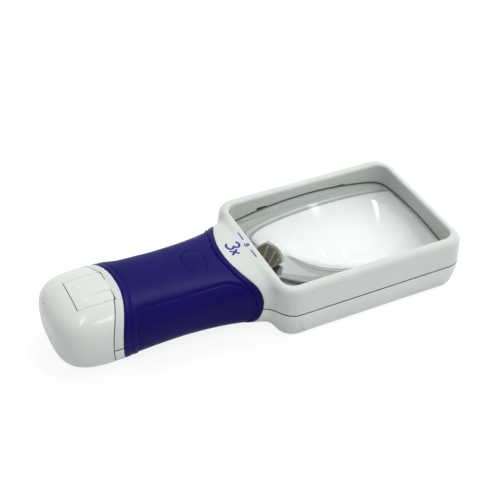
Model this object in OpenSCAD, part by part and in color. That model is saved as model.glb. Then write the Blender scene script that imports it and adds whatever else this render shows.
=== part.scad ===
// Illuminated rectangular hand magnifier with a battery handle.
// +X runs from the battery cap to the head, +Z is up, and it lies on z = 0.

/* [Head] */
// Length of the head
head_l = 80.4; // [74:0.2:90]
// Width of the head at the parting line
head_w = 62.4; // [58:0.2:70]
// Height of the rim above the table
head_h = 22.3; // [21.5:0.1:24]
// Corner radius of the head in plan
head_r = 8.5; // [7.5:0.1:11]
// How far the foot of the head draws in below the parting line
foot_inset = 3; // [1:0.1:3.2]
// Rounding of the rim's outer edge
rim_r = 2.6; // [1:0.1:3]
// Inward draft of the head's upper wall
rim_draft = 0.5; // [0:0.1:0.8]
// Width of the rim along the two sides
rim_side = 5.2; // [4.8:0.1:7]
// Width of the rim at the far end
rim_end = 3.9; // [3.7:0.1:6]
// Height of the parting line between the two housings
parting_z = 11.65; // [11.2:0.05:12.2]
// Housing wall thickness
wall = 1.6; // [1.2:0.1:1.7]

/* [Lens] */
// Corner radius of the viewing opening
opening_r = 4.5; // [3.5:0.1:6]
// Wall of the viewing well
well_wall = 1.2; // [0.9:0.1:1.4]
// Radius of the lens's upper face
lens_top_r = 140; // [125:1:180]
// Radius of the lens's lower face
lens_bottom_r = 109; // [104:1:150]
// Thickness of the lens at its corners
lens_edge = 1.6; // [1:0.1:2.4]
// Drop of the lens's corners below the parting line
lens_drop = 0.15; // [0:0.05:0.4]
// Width of the lens edge that the well covers
lens_cover = 1; // [0.8:0.1:1.2]
// Thickness of the lens over the lamp's pocket
lens_roof = 0.9; // [0.7:0.1:1.1]
// Thickness of the frame round the lens
frame_t = 0.7; // [0.5:0.1:0.8]
// Thickness of the frame's lips over the lens
frame_lip = 0.8; // [0.5:0.1:1]
// Half the distance between the two snap windows of a side
snap_x = 18; // [12:0.5:24]
// How far each pair of snap windows sits back from the middle of the head
snap_back = 2; // [0:0.5:4]
// Length of a snap window
snap_l = 4.5; // [3:0.1:6]

/* [Handle] */
// Length of the handle from the cap's tip to the head
handle_l = 78; // [76:0.2:90]
// Width of the handle at the cap
handle_w = 40.4; // [39.6:0.2:44]
// Height of the handle at the cap
handle_h = 24.4; // [24:0.1:26]
// Width of the handle at its waist
waist_w = 38.4; // [38:0.2:40]
// Distance from the cap's tip to the waist
waist_l = 46.2; // [42:0.2:50]
// Width of the collar where it meets the head
collar_w = 45.6; // [42:0.2:48]
// Length of the collar's flare into the head
collar_l = 3.3; // [2:0.1:5]
// Extra width of the fillet between the collar and the head
collar_fillet = 3; // [0:0.1:4]
// Drop of the collar's top below the rim
collar_drop = 0.2; // [0.1:0.05:0.4]
// Rise of the arched underside at the waist
arch = 1.5; // [0.5:0.1:1.6]
// Roundness of the handle's section, where 2 is an ellipse
section_n = 2.7; // [2.5:0.1:3.2]
// Roundness of the section at the collar
collar_n = 3.4; // [2.8:0.1:4]

/* [Grip] */
// Thickness of the soft grip
grip_t = 1.3; // [1:0.1:1.4]
// Radius of the grip's front edge in plan
grip_front_r = 37.8; // [34:0.2:44]
// Distance from the head to the front edge on the centre line
grip_front_l = 9.4; // [8:0.1:11]
// Radius of the grip's front edge, seen from the side
grip_side_r = 21; // [18:0.5:26]
// Distance from the head to the front edge at the side
grip_side_l = 3.4; // [3:0.1:4.5]
// Depth of the finger panel in each side
panel_d = 0.6; // [0.3:0.1:0.8]
// Half the distance between the two finger panels
panel_y = 13.6; // [12:0.1:15]
// Distance of a finger panel from the front edge at the side
panel_in = 3.5; // [3.2:0.1:6]
// Depth of the groove inside the grip's edges
groove_d = 0.5; // [0.3:0.1:0.8]
// Width of that groove
groove_w = 0.5; // [0.4:0.1:0.8]
// Distance of the groove from the grip's edges
groove_in = 2; // [1.5:0.1:2.4]

/* [Cap] */
// Length of the rounded end of the cap
dome_l = 21.2; // [20:0.2:24]
// Roundness of that end, where 2 is an ellipse
dome_n = 3.5; // [3:0.1:4]
// Distance from the tip to the seam on the centre line
seam_l = 23.7; // [22.5:0.1:25]
// Radius of the seam in plan
seam_r = 36.8; // [34:0.2:44]
// Width of the housing's band between the cap and the grip
band_w = 3; // [2:0.1:4]
// Wall thickness of the cap
cap_wall = 1.6; // [1.2:0.1:1.7]
// Length of the spigot that the cap slides over
spigot_l = 6; // [4:0.1:8]
// Width of the latch tongue
tongue_w = 15.4; // [12:0.1:18]
// Length of the latch tongue
tongue_l = 14; // [11:0.1:15]
// Thickness of the latch tongue
tongue_t = 1.4; // [1:0.1:1.6]
// Width of each finger strip sunk in the tongue
strip_w = 2.3; // [1.5:0.1:3]

/* [Switch] */
// Length of the oval button along the handle
button_l = 8.4; // [7.6:0.1:10]
// Width of the oval button
button_w = 13.5; // [11:0.1:15]
// Distance from the head to the button's centre
button_x_l = 21.2; // [20.5:0.1:22]
// How far the button goes down
button_travel = 0.9; // [0.5:0.1:1]
// Diameter of the plunger
plunger_d = 3; // [2.4:0.1:3.6]
// Side of the square switch
switch_side = 6; // [5.5:0.1:6.4]
// Height of the switch
switch_h = 3.4; // [3:0.1:3.8]
// Thickness of the circuit board
board_t = 1.2; // [0.8:0.1:1.6]
// Height of the circuit board above the table
board_z = 12; // [11.8:0.05:12.1]

/* [Lamp] */
// Width of the lamp shade
shade_w = 13; // [11:0.2:16]
// Reach of the shade's top into the viewing well
shade_l = 10.6; // [9:0.1:12]
// Radius of the shade's top in plan
shade_r = 16.4; // [14:0.2:20]
// How far the shade leans out over its height
shade_lean = 5.6; // [4:0.1:6]
// Thickness of the shade
shade_t = 0.9; // [0.6:0.1:1.2]
// Number of lamps, and of brass strips on the shade
led_n = 3; // [1:1:4]
// Width of each brass strip
brass_w = 0.7; // [0.4:0.1:1.2]
// Angle from one brass strip to the next
brass_step = 17; // [12:0.5:18]

/* [Batteries] */
// Diameter of a cell
cell_d = 14.2; // [13.5:0.1:14.4]
// Length of a cell with its button
cell_l = 50; // [49:0.1:50.5]
// Wire of the contact springs
wire_d = 0.7; // [0.5:0.1:0.8]

/* [Fit] */
// Clearance between pieces that are fixed together
fit = 0.1; // [0.05:0.01:0.15]
// Clearance round pieces that move
slack = 0.3; // [0.2:0.01:0.4]

/* [Hidden] */

// Places along the handle, from the tip of the cap to the far end of the head
total_l = handle_l + head_l;
tip_x = -total_l / 2;
head_x0 = tip_x + handle_l;
head_x1 = total_l / 2;
head_x = (head_x0 + head_x1) / 2;
dome_x = tip_x + dome_l;
waist_x = tip_x + waist_l;
collar_x = head_x0 - collar_l;
seam_x = tip_x + seam_l;
seam_cx = seam_x - seam_r;
grip_front_x = head_x0 - grip_front_l;
grip_cx = grip_front_x + grip_front_r;
grip_side_x = head_x0 - grip_side_l - grip_side_r;
grip_side_z = parting_z + 2.85;
button_x = head_x0 - button_x_l;

// The viewing opening and what lies round it
opening_l = head_l - 2 * rim_end;
opening_w = head_w - 2 * rim_side;
well_x = head_x - opening_l / 2;
lens_z = parting_z - lens_drop;
lens_l = opening_l + 2 * lens_cover;
lens_w = opening_w + 2 * lens_cover;
lens_corner_r = opening_r + lens_cover;
corner_cut = lens_corner_r * (1 - sqrt(0.5));
corner_reach = norm([lens_l / 2 - corner_cut, lens_w / 2 - corner_cut]);
function sag(r) = r - sqrt(pow(r, 2) - pow(corner_reach, 2));
lens_top_z = lens_z + lens_edge / 2 + sag(lens_top_r);
lens_bottom_z = lens_z - lens_edge / 2 - sag(lens_bottom_r);

// How deep the inside of the handle lies under its surface
core_inset = grip_t + fit;
cavity_inset = core_inset + wall;
spigot_inset = cap_wall + slack;

// The stack of cells, contacts, switch and lamps along the handle
cap_floor_x = tip_x + cap_wall;
contact_t = 0.4;
spring_h = 2;
bridge_in = 2;
bridge_x = cap_floor_x + bridge_in;
cell_x0 = bridge_x + contact_t + spring_h + fit;
cell_x1 = cell_x0 + cell_l;
front_plate_x = cell_x1 + spring_h + fit;
carrier_x = front_plate_x + contact_t;
carrier_t = 1;
cell_z = parting_z + 0.6;
cell_y = cell_d / 2 + 0.2;
cell_button_l = 1;
cell_button_r = 2.75;
cell_edge = 0.6;
plate_w = 9;
plate_h = 8;
bridge_h = 7;
dimple_r = 2.6;
spring_base_r = 4.2;
spring_tip_r = 1.6;
cap_post_r = 2;
switch_x = carrier_x + carrier_t + slack + switch_side / 2;
plunger_x = button_x + button_l / 4;
board_x0 = carrier_x + carrier_t;
board_w = 23;
board_top = board_z + board_t;
lamp_x = well_x + 1.9;
board_x1 = lamp_x + 1.4;
led_side = 2.4;
led_h = 1.4;
shade_top = board_top + 3.8;
shade_z = 4;
shade_cx = well_x + shade_l - shade_r;
cheek_t = 0.8;
board_neck_w = shade_w - 2 * cheek_t - 3 * slack;
screw_x = collar_x + 0.5;
screw_y = 15.5;
screw_r = 1.1;
screw_head_r = 2.1;
screw_head_h = 1.6;
screw_seat = arch + 2;
screw_top = parting_z + 5;
recess_l = 2.6;
recess_w = 0.5;
recess_d = 0.9;
boss_r = 2.6;
post_r = 1.5;
post_x = [lerp(board_x0, screw_x, 0.25), lerp(board_x0, screw_x, 0.5)];
post_y = board_w / 2 - 2;
resistor_l = 6;
resistor_r = 0.8;
resistor_end_r = 1;
resistor_end_l = 1.6;
snap_h = 5.6;
panel_rear_r = 7;
panel_front_r = 10;

// Facets: points round a section, stations along the waist, steps round small rounds
section_pts = 28;
waist_steps = 10;
dome_angles = [89, 80, 68, 55, 41, 27, 13];
round_fn = 32;
post_fn = 24;
cell_fn = 48;
face_fn = 180;
cut_fn = 96;
lens_cut_fn = 96;
eps = 0.01;
far = 200;

function lerp(a, b, t) = a + (b - a) * t;
function clamp01(t) = min(1, max(0, t));
function arc_fall(t, n) = pow(max(0, 1 - pow(t, n)), 1 / n);
function rear_t(x) = clamp01((waist_x - x) / (waist_x - dome_x));
function front_t(x) = max(0, (x - waist_x) / (collar_x - waist_x));
function fillet_t(x) = clamp01((x - collar_x) / (well_x - collar_x));

// Half width and heights of the handle at a place along it
function half_w(x) = x <= waist_x
  ? lerp(waist_w, handle_w, pow(rear_t(x), 2)) / 2
  : lerp(waist_w, collar_w, pow(front_t(x), section_n)) / 2 + collar_fillet * pow(fillet_t(x), 2);
function top_h(x) = lerp(handle_h, head_h - collar_drop, clamp01((x - dome_x) / (well_x - dome_x)))
  - parting_z;
function bottom_h(x) = parting_z - arch * max(0, 1 - pow(x <= waist_x ? rear_t(x) : front_t(x), 2));
function dome_k(x, inset) = x >= dome_x ? 1 : arc_fall((dome_x - x) / (dome_l - inset), dome_n);
function signed_pow(v, p) = sign(v) * pow(abs(v), p);

// One cross-section, seen along X, drawn in by inset
function section(x, inset) = let (
    n = lerp(section_n, collar_n, clamp01(front_t(x))),
    k = dome_k(x, inset)
  ) [for (i = [0:section_pts - 1]) let (a = 360 * i / section_pts, s = sin(a)) [
    k * (half_w(x) - inset) * signed_pow(cos(a), 2 / n),
    k * ((s > 0 ? top_h(x) : bottom_h(x)) - inset) * signed_pow(s, 2 / n)]];

// Stations between xa and xb, closer together round the end of the cap
function stations(inset, xa, xb) = let (all = concat(
    [for (a = dome_angles) dome_x - (dome_l - inset) * sin(a)],
    [for (i = [0:waist_steps]) lerp(dome_x, well_x, i / waist_steps)])
  ) concat(xa > all[0] ? [xa] : [], [for (x = all) if (x > xa + eps && x < xb - eps) x],
    [min(xb, well_x)]);

// That section as points in space
function ring(x, inset) = [for (p = section(x, inset)) [x, p[0], parting_z + p[1]]];

// The handle's form, lofted from station to station
module handle_form(inset = 0, xa = -far, xb = far) {
  xs = stations(inset, xa, xb);
  for (i = [0:len(xs) - 2]) hull()
    polyhedron(concat(ring(xs[i], inset), ring(xs[i + 1], inset)), [[for (k = [0:2 * section_pts - 1]) k]]);
}

// Outline of a corner of the head, from its foot to its rim
function corner_profile(inset) = let (r = head_r - inset, edge = max(rim_r - inset, 0.4)) concat(
  [[0, inset]],
  [for (a = [0:15:90]) [r - foot_inset * (1 - sin(a)), parting_z - (parting_z - inset) * cos(a)]],
  [for (a = [0:18:90]) [r - rim_draft - edge * (1 - cos(a)), head_h - inset - edge * (1 - sin(a))]],
  [[0, head_h - inset]]);

module head_form(inset = 0) {
  hull() for (sx = [-1, 1], sy = [-1, 1])
    translate([head_x + sx * (head_l / 2 - head_r), sy * (head_w / 2 - head_r), 0])
      rotate_extrude($fn = round_fn) polygon(corner_profile(inset));
}

// A block with rounded corners, grown all round from the viewing opening
module window_block(grow, z0, z1) {
  r = opening_r + grow;
  hull() for (sx = [-1, 1], sy = [-1, 1])
    translate([head_x + sx * (opening_l / 2 - opening_r), sy * (opening_w / 2 - opening_r), z0])
      cylinder(r = r, h = z1 - z0, $fn = round_fn);
}

// The lens's own form, grown sideways and over both faces
module lens_form(side, over, fn = face_fn) {
  intersection() {
    window_block(lens_cover + side, -far / 4, far / 4);
    translate([head_x, 0, lens_top_z - lens_top_r]) sphere(r = lens_top_r + over, $fn = fn);
    translate([head_x, 0, lens_bottom_z + lens_bottom_r]) sphere(r = lens_bottom_r + over, $fn = fn);
  }
}

// Room for the lamp shade at the handle's side of the lens
module lamp_room(gap, z0 = -far / 4, z1 = far / 4) {
  reach = lens_cover + frame_t + slack;
  intersection() {
    translate([well_x - reach - gap, -shade_w / 2 - gap, z0])
      cube([reach + 2 * shade_l, shade_w + 2 * gap, z1 - z0]);
    translate([shade_cx, 0, z0]) cylinder(r = shade_r + gap, h = z1 - z0, $fn = cut_fn);
  }
}

// Space below the lens's skin over the lamp's pocket
module under_roof(gap) {
  translate([head_x, 0, lens_top_z - lens_top_r]) sphere(r = lens_top_r - lens_roof - gap, $fn = face_fn);
}

// Plan of the grip between the band at the cap and the collar
module grip_plan(gap) {
  difference() {
    translate([seam_x - band_w - far / 10, -far / 4]) square([head_x0 - seam_x + far / 10, far / 2]);
    translate([seam_cx, 0]) circle(r = seam_r + band_w + gap, $fn = cut_fn);
    translate([grip_cx, 0]) circle(r = grip_front_r + gap, $fn = cut_fn);
  }
}

// Space that the grip takes, also rounded off at the front as seen from the side
module grip_room(gap) {
  intersection() {
    translate([0, 0, -1]) linear_extrude(far / 4) grip_plan(gap);
    rotate([90, 0, 0]) linear_extrude(far, center = true) {
      translate([grip_side_x, grip_side_z]) circle(r = grip_side_r - gap, $fn = cut_fn);
      translate([grip_side_x - far, -far / 4]) square([far, far]);
    }
  }
}

// Plan of the finger panel on one side
module finger_panel(sy) {
  rear_x = seam_x + band_w + panel_rear_r;
  front_x = head_x0 - grip_side_l - panel_in - panel_front_r;
  hull() for (out = [0, far / 10]) {
    translate([rear_x, sy * (panel_y + panel_rear_r + out)]) circle(r = panel_rear_r, $fn = cut_fn);
    translate([front_x, sy * (panel_y + panel_front_r + out)]) circle(r = panel_front_r, $fn = cut_fn);
  }
}

module oval(l, w, z0, z1) {
  pts = [for (a = [0:10:350]) [l / 2 * cos(a), w / 2 * sin(a)]];
  translate([button_x, 0, z0]) linear_extrude(z1 - z0) polygon(pts);
}

module tongue_plan(gap) {
  translate([seam_x - tongue_l - gap, -tongue_w / 2 - gap])
    square([tongue_l - slack / 2 + 1.5 * gap, tongue_w + 2 * gap]);
}

// Ring-shaped space inside the walls, open from the handle into the head
module inside() {
  difference() {
    union() {
      handle_form(cavity_inset, seam_x - spigot_l - 1, well_x - eps);
      head_form(wall);
    }
    window_block(well_wall, -1, head_h + 1);
  }
}

// Both housings in one, before they part
module housing_shell() {
  difference() {
    union() {
      difference() {
        union() {
          handle_form(0, seam_x - far / 20);
          head_form();
        }
        difference() {
          grip_room(0);
          handle_form(core_inset, seam_x - far / 20);
        }
        translate([seam_cx, 0, -1]) cylinder(r = seam_r + slack / 2, h = far / 4, $fn = cut_fn);
      }
      handle_form(spigot_inset, seam_x - spigot_l, seam_x + 1);
    }
    inside();
    window_block(0, -1, head_h + 1);
    lens_form(frame_t + fit, frame_lip + fit, lens_cut_fn);
  }
}

module screw_places() {
  for (sy = [-1, 1]) translate([screw_x, sy * screw_y, 0]) children();
}

module upper_housing() {
  color("gainsboro") difference() {
    union() {
      intersection() {
        housing_shell();
        translate([-far / 2, -far / 4, parting_z + fit / 2]) cube([far, far / 2, far / 4]);
      }
      intersection() {
        handle_form(core_inset, screw_x - 2 * boss_r, screw_x + 2 * boss_r);
        screw_places() translate([0, 0, parting_z + fit / 2])
          cylinder(r = boss_r, h = far / 8, $fn = post_fn);
      }
    }
    screw_places() cylinder(r = screw_r + fit, h = screw_top + fit, $fn = post_fn);
    oval(button_l + 2 * slack, button_w + 2 * slack, parting_z, head_h + far / 10);
    for (sx = [-1, 1]) translate([head_x - snap_back + sx * snap_x - snap_l / 2, -far / 4, lens_z])
      intersection() {
        cube([snap_l, far / 2, far / 20]);
        translate([-far, far / 4 - opening_w / 2 - well_wall, 0])
          cube([2 * far, opening_w + 2 * well_wall, snap_h]);
      }
    translate([well_x - far / 20, -board_neck_w / 2 - fit, board_z - led_h - fit])
      cube([far / 10, board_neck_w + 2 * fit, board_t + led_h + 2 * fit]);
    lamp_room(fit, shade_z - fit, board_top + 2 * slack);
    translate([0, 0, -1]) linear_extrude(far / 4) tongue_plan(slack);
  }
}

module lower_housing() {
  color("gainsboro") difference() {
    union() {
      intersection() {
        housing_shell();
        translate([-far / 2, -far / 4, -1]) cube([far, far / 2, parting_z - fit / 2 + 1]);
      }
      intersection() {
        handle_form(core_inset, post_x[0] - 2 * boss_r, screw_x + 2 * boss_r);
        union() {
          screw_places() cylinder(r = boss_r, h = parting_z - fit / 2, $fn = post_fn);
          for (px = post_x, sy = [-1, 1]) translate([px, sy * post_y, 0])
            cylinder(r = post_r, h = parting_z - fit / 2, $fn = post_fn);
        }
      }
    }
    screw_places() translate([0, 0, -1]) cylinder(r = screw_r + fit, h = far / 4, $fn = post_fn);
    screw_places() translate([0, 0, -1]) cylinder(r = screw_head_r + fit, h = screw_seat + 1, $fn = post_fn);
    lamp_room(fit, shade_z - fit, board_top + 2 * slack);
  }
}

module lens() {
  color([0.85, 0.92, 0.92, 0.4]) difference() {
    lens_form(0, 0);
    intersection() {
      lamp_room(2 * fit);
      under_roof(0);
    }
  }
}

module lens_frame() {
  color("lightgray") difference() {
    lens_form(frame_t, frame_lip);
    lens_form(fit / 2, fit / 2);
    window_block(0, -far / 4, far / 4);
    lamp_room(2 * fit);
  }
}

module grip_sleeve() {
  color([0.12, 0.1, 0.42]) difference() {
    intersection() {
      handle_form(0, seam_x - far / 20);
      grip_room(fit);
    }
    handle_form(grip_t, seam_x - far / 20);
    oval(button_l + 2 * slack, button_w + 2 * slack, parting_z, head_h + far / 10);
    // Groove that runs round inside the front and rear edges
    difference() {
      grip_room(groove_in);
      grip_room(groove_in + groove_w);
      handle_form(groove_d, seam_x - far / 20);
    }
    // Sunk finger panel along each side, rounded at both ends
    difference() {
      for (sy = [-1, 1]) translate([0, 0, -1]) linear_extrude(far / 4) finger_panel(sy);
      handle_form(panel_d, seam_x - far / 20);
    }
  }
}

module battery_cap() {
  color("gainsboro") difference() {
    union() {
      difference() {
        handle_form(0, -far, seam_x + 1);
        handle_form(cap_wall, -far, seam_x + 2);
      }
      // Posts inside the end that carry the contact bridge
      intersection() {
        handle_form(0, -far, bridge_x + 1);
        for (sy = [-1, 1]) translate([tip_x, sy * cell_y, cell_z]) rotate([0, 90, 0])
          cylinder(r = cap_post_r, h = bridge_x - tip_x - fit, $fn = post_fn);
      }
    }
    difference() {
      translate([seam_x - far / 20, -far / 4, -1]) cube([far / 4, far / 2, far / 4]);
      translate([seam_cx, 0, -2]) cylinder(r = seam_r - slack / 2, h = far / 2, $fn = cut_fn);
    }
    translate([0, 0, parting_z]) linear_extrude(far / 4) {
      tongue_plan(slack);
      translate([seam_x - 1, -tongue_w / 2 - slack]) square([far / 10, tongue_w + 2 * slack]);
    }
  }
}

module latch_tongue() {
  color("gainsboro") difference() {
    intersection() {
      handle_form(0, seam_x - tongue_l - 1, seam_x + 1);
      translate([0, 0, parting_z]) linear_extrude(far / 4) tongue_plan(0);
    }
    handle_form(tongue_t, seam_x - tongue_l - 2, seam_x + 2);
    for (sy = [-1, 1]) difference() {
      translate([seam_x - 0.7 * tongue_l, sy * tongue_w / 4 - strip_w / 2, parting_z])
        cube([tongue_l, strip_w, far / 10]);
      handle_form(tongue_t / 4, seam_x - tongue_l - 2, seam_x + 2);
    }
  }
}

// Top of the button, a little above the handle's surface
button_top = parting_z + top_h(button_x) + 0.15;
button_foot = cell_z + cell_d / 2 + button_travel + slack;
crown_r = 60;

module switch_button() {
  color([0.12, 0.1, 0.42]) intersection() {
    oval(button_l, button_w, button_foot, button_top + 1);
    translate([button_x, 0, button_top - crown_r]) sphere(r = crown_r, $fn = face_fn);
  }
}

plunger_z = board_top + switch_h - 0.8;
arm_t = 1;
arm_z = parting_z + top_h(switch_x + plunger_d) - cavity_inset - slack - arm_t;

// Arm under the button that reaches forward to the switch
module switch_plunger() {
  color("white") {
    translate([plunger_x, 0, arm_z]) cylinder(d = plunger_d, h = button_foot - arm_z, $fn = round_fn);
    hull() for (x = [plunger_x, switch_x]) translate([x, 0, arm_z])
      cylinder(d = plunger_d, h = arm_t, $fn = round_fn);
    translate([switch_x, 0, plunger_z])
      cylinder(d = plunger_d, h = arm_z + arm_t / 2 - plunger_z, $fn = round_fn);
  }
}

module push_switch() {
  color("dimgray") difference() {
    translate([switch_x - switch_side / 2, -switch_side / 2, board_top])
      cube([switch_side, switch_side, switch_h]);
    translate([switch_x, 0, plunger_z - button_travel - slack])
      cylinder(d = plunger_d + slack, h = switch_h, $fn = round_fn);
  }
}

module circuit_board() {
  color("darkgreen") translate([0, 0, board_z]) linear_extrude(board_t) {
    translate([board_x0, -board_w / 2]) square([screw_x - board_x0, board_w]);
    translate([screw_x - 1, -board_neck_w / 2]) square([board_x1 - screw_x + 1, board_neck_w]);
  }
}

module resistor() {
  half = resistor_l / 2;
  side = [[resistor_r, half - resistor_end_l], [resistor_end_r, half - 0.75 * resistor_end_l],
    [resistor_end_r, half - 0.25 * resistor_end_l], [resistor_r, half], [0, half]];
  y = switch_side / 2 + slack + 2 * resistor_end_r;
  color("tan") translate([switch_x, y, board_top + resistor_end_r]) rotate([0, 90, 0])
    rotate_extrude($fn = round_fn)
      polygon(concat(side, [for (i = [len(side) - 1:-1:0]) [side[i][0], -side[i][1]]]));
}

module led_lamps() {
  pitch = board_neck_w / led_n;
  color("lightyellow") for (i = [0:led_n - 1])
    translate([lamp_x - led_side / 2, (i - (led_n - 1) / 2) * pitch - led_side / 2, board_z - led_h])
      cube([led_side, led_side, led_h]);
}

// The shade's leaning round, drawn in by inset and carried on past both ends by over
module shade_cone(inset, over = 0) {
  slope = shade_lean / (shade_top - shade_z);
  translate([shade_cx, 0, shade_z - over])
    cylinder(r1 = shade_r - shade_lean - inset - over * slope, r2 = shade_r - inset + over * slope,
      h = shade_top - shade_z + 2 * over, $fn = cut_fn);
}

// Dark shade that leans out over the lamps and keeps their light out of the eye
module lamp_shade() {
  back_x = well_x - well_wall;
  inner_w = shade_w - 2 * cheek_t;
  color([0.35, 0.33, 0.31]) difference() {
    intersection() {
      shade_cone(0);
      under_roof(2 * fit);
      translate([back_x, -shade_w / 2, 0]) cube([far / 4, shade_w, far / 4]);
    }
    intersection() {
      shade_cone(shade_t, 1);
      translate([back_x - 1, -inner_w / 2, 0]) cube([far / 4, inner_w, far / 4]);
    }
  }
}

module lamp_strips() {
  inset = shade_t + fit / 2;
  color("goldenrod") for (i = [0:led_n - 1]) intersection() {
    difference() {
      shade_cone(inset);
      shade_cone(inset + contact_t, 1);
    }
    under_roof(2 * fit);
    translate([shade_cx, 0, 0]) rotate((i - (led_n - 1) / 2) * brass_step)
      translate([0, -brass_w / 2, 0]) cube([far / 4, brass_w, far / 4]);
  }
}

// One round cell along X, its button towards +X
module cell() {
  r = cell_d / 2;
  body_l = cell_l - cell_button_l;
  translate([-cell_l / 2, 0, 0]) rotate([0, 90, 0]) rotate_extrude($fn = cell_fn)
    polygon([[0, 0], [r - cell_edge, 0], [r, cell_edge], [r, body_l - cell_edge], [r - cell_edge, body_l],
      [cell_button_r, body_l], [cell_button_r, cell_l], [0, cell_l]]);
}

module battery_left() {
  color("darkorange") translate([(cell_x0 + cell_x1) / 2, cell_y, cell_z]) cell();
}

module battery_right() {
  color("darkorange") translate([(cell_x0 + cell_x1) / 2, -cell_y, cell_z]) rotate([0, 0, 180]) cell();
}

// Plastic plate across the handle that carries the front contacts
module contact_carrier() {
  w = waist_w - 2 * cavity_inset - 4;
  h = plate_h + 2;
  color("white") translate([carrier_x, -w / 2, cell_z - h / 2]) cube([carrier_t, w, h]);
}

module contact_plate(x) {
  translate([x, -plate_w / 2, -plate_h / 2]) cube([contact_t, plate_w, plate_h]);
}

// The dimple that meets a cell's button
module contact_dimple(x, h) {
  translate([x, 0, 0]) rotate([0, 90, 0]) cylinder(r1 = 0.8 * dimple_r, r2 = dimple_r, h = h, $fn = round_fn);
}

module front_contacts() {
  color("goldenrod") {
    translate([0, cell_y, cell_z]) {
      contact_plate(front_plate_x);
      contact_dimple(cell_x1 + fit, front_plate_x - cell_x1 - fit);
    }
    translate([0, -cell_y, cell_z]) contact_plate(front_plate_x);
  }
}

module cap_contact_bridge() {
  color("goldenrod") {
    translate([bridge_x, -cell_y - plate_h / 2, cell_z - bridge_h / 2])
      cube([contact_t, 2 * cell_y + plate_h, bridge_h]);
    translate([0, -cell_y, cell_z]) mirror([1, 0, 0])
      contact_dimple(-cell_x0 + fit, cell_x0 - fit - bridge_x - contact_t);
  }
}

// A conical contact spring along X: one wire wound by formula
spring_turns = 1.5;
spring_rise = spring_h - wire_d - fit;
function spring_at(t) = let (a = 360 * spring_turns * t, r = lerp(spring_base_r, spring_tip_r, t))
  [wire_d / 2 + spring_rise * t, r * cos(a), r * sin(a)];
spring_rings = 8 * ceil(spring_turns * 2);
spring_sides = 6;
function ring_at(i) = let (
    t = i / spring_rings,
    p = spring_at(t),
    radial = [0, cos(360 * spring_turns * t), sin(360 * spring_turns * t)]
  ) [for (j = [0:spring_sides - 1]) let (b = 360 * j / spring_sides)
    p + wire_d / 2 * (cos(b) * radial + sin(b) * [1, 0, 0])];

// Least gap between the spring's turns, over points half a turn or more apart
spring_gap = min([for (i = [0:spring_rings], j = [i:spring_rings])
  if ((j - i) * spring_turns >= spring_rings / 2)
    norm(spring_at(i / spring_rings) - spring_at(j / spring_rings))]) - wire_d;
echo(spring_gap = spring_gap);

module contact_spring() {
  pts = [for (i = [0:spring_rings]) each ring_at(i)];
  last = spring_rings * spring_sides;
  polyhedron(pts, concat(
    [[for (j = [0:spring_sides - 1]) j]],
    [for (i = [0:spring_rings - 1], j = [0:spring_sides - 1]) let (
        a = i * spring_sides + j, b = i * spring_sides + (j + 1) % spring_sides)
      each [[a, a + spring_sides, b + spring_sides], [a, b + spring_sides, b]]],
    [[for (j = [spring_sides - 1:-1:0]) last + j]]));
}

module front_spring() {
  color("silver") translate([front_plate_x - fit / 2, -cell_y, cell_z]) mirror([1, 0, 0]) contact_spring();
}

module cap_spring() {
  color("silver") translate([bridge_x + contact_t + fit / 2, cell_y, cell_z]) contact_spring();
}

module housing_screws() {
  color("silver") screw_places() {
    translate([0, 0, screw_seat - screw_head_h]) difference() {
      cylinder(r = screw_head_r, h = screw_head_h, $fn = round_fn);
      for (a = [0, 90]) rotate(a) translate([-recess_l / 2, -recess_w / 2, -1])
        cube([recess_l, recess_w, recess_d + 1]);
    }
    translate([0, 0, screw_seat]) cylinder(r = screw_r, h = screw_top - screw_seat, $fn = round_fn);
  }
}

upper_housing();
lower_housing();
lens();
lens_frame();
grip_sleeve();
battery_cap();
latch_tongue();
switch_button();
switch_plunger();
push_switch();
circuit_board();
resistor();
led_lamps();
lamp_shade();
lamp_strips();
battery_left();
battery_right();
contact_carrier();
front_contacts();
front_spring();
cap_contact_bridge();
cap_spring();
housing_screws();
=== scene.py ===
# %% [markdown]
# # A hand magnifier with its own light
# The object is a rectangular magnifier: a white head holds a thick lens, and a
# handle with a soft blue grip holds two cells behind a push-on cap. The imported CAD
# model is loaded as a fixed frame, and every piece made here lies in that frame.

# %% Load the frame
import math

import bmesh
import bpy
import numpy as np
from mathutils import Matrix, Vector


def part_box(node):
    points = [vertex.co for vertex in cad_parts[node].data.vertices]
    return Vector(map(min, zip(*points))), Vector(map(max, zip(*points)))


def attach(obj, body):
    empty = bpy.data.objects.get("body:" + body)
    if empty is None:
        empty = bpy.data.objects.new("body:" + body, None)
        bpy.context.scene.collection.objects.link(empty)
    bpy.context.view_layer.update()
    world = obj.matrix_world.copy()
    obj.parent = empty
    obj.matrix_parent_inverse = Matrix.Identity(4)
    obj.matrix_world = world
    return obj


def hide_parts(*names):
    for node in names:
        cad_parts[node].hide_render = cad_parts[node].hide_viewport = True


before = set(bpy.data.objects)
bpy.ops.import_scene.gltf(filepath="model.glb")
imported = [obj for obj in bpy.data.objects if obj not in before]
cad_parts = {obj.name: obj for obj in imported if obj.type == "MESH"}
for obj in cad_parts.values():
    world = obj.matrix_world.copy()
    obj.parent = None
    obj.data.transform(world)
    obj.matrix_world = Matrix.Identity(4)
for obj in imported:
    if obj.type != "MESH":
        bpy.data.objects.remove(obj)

scene = bpy.context.scene
scene.view_settings.view_transform = "Standard"
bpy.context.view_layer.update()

# %% [markdown]
# ## Sizes
# The mouldings are worked out from the same sizes as the solids, in millimetres,
# so that each new skin lies on the solid it stands for. MM turns them into metres.
# A skin could be wrapped onto the solid's mesh, but it would take over its facets.

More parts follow.
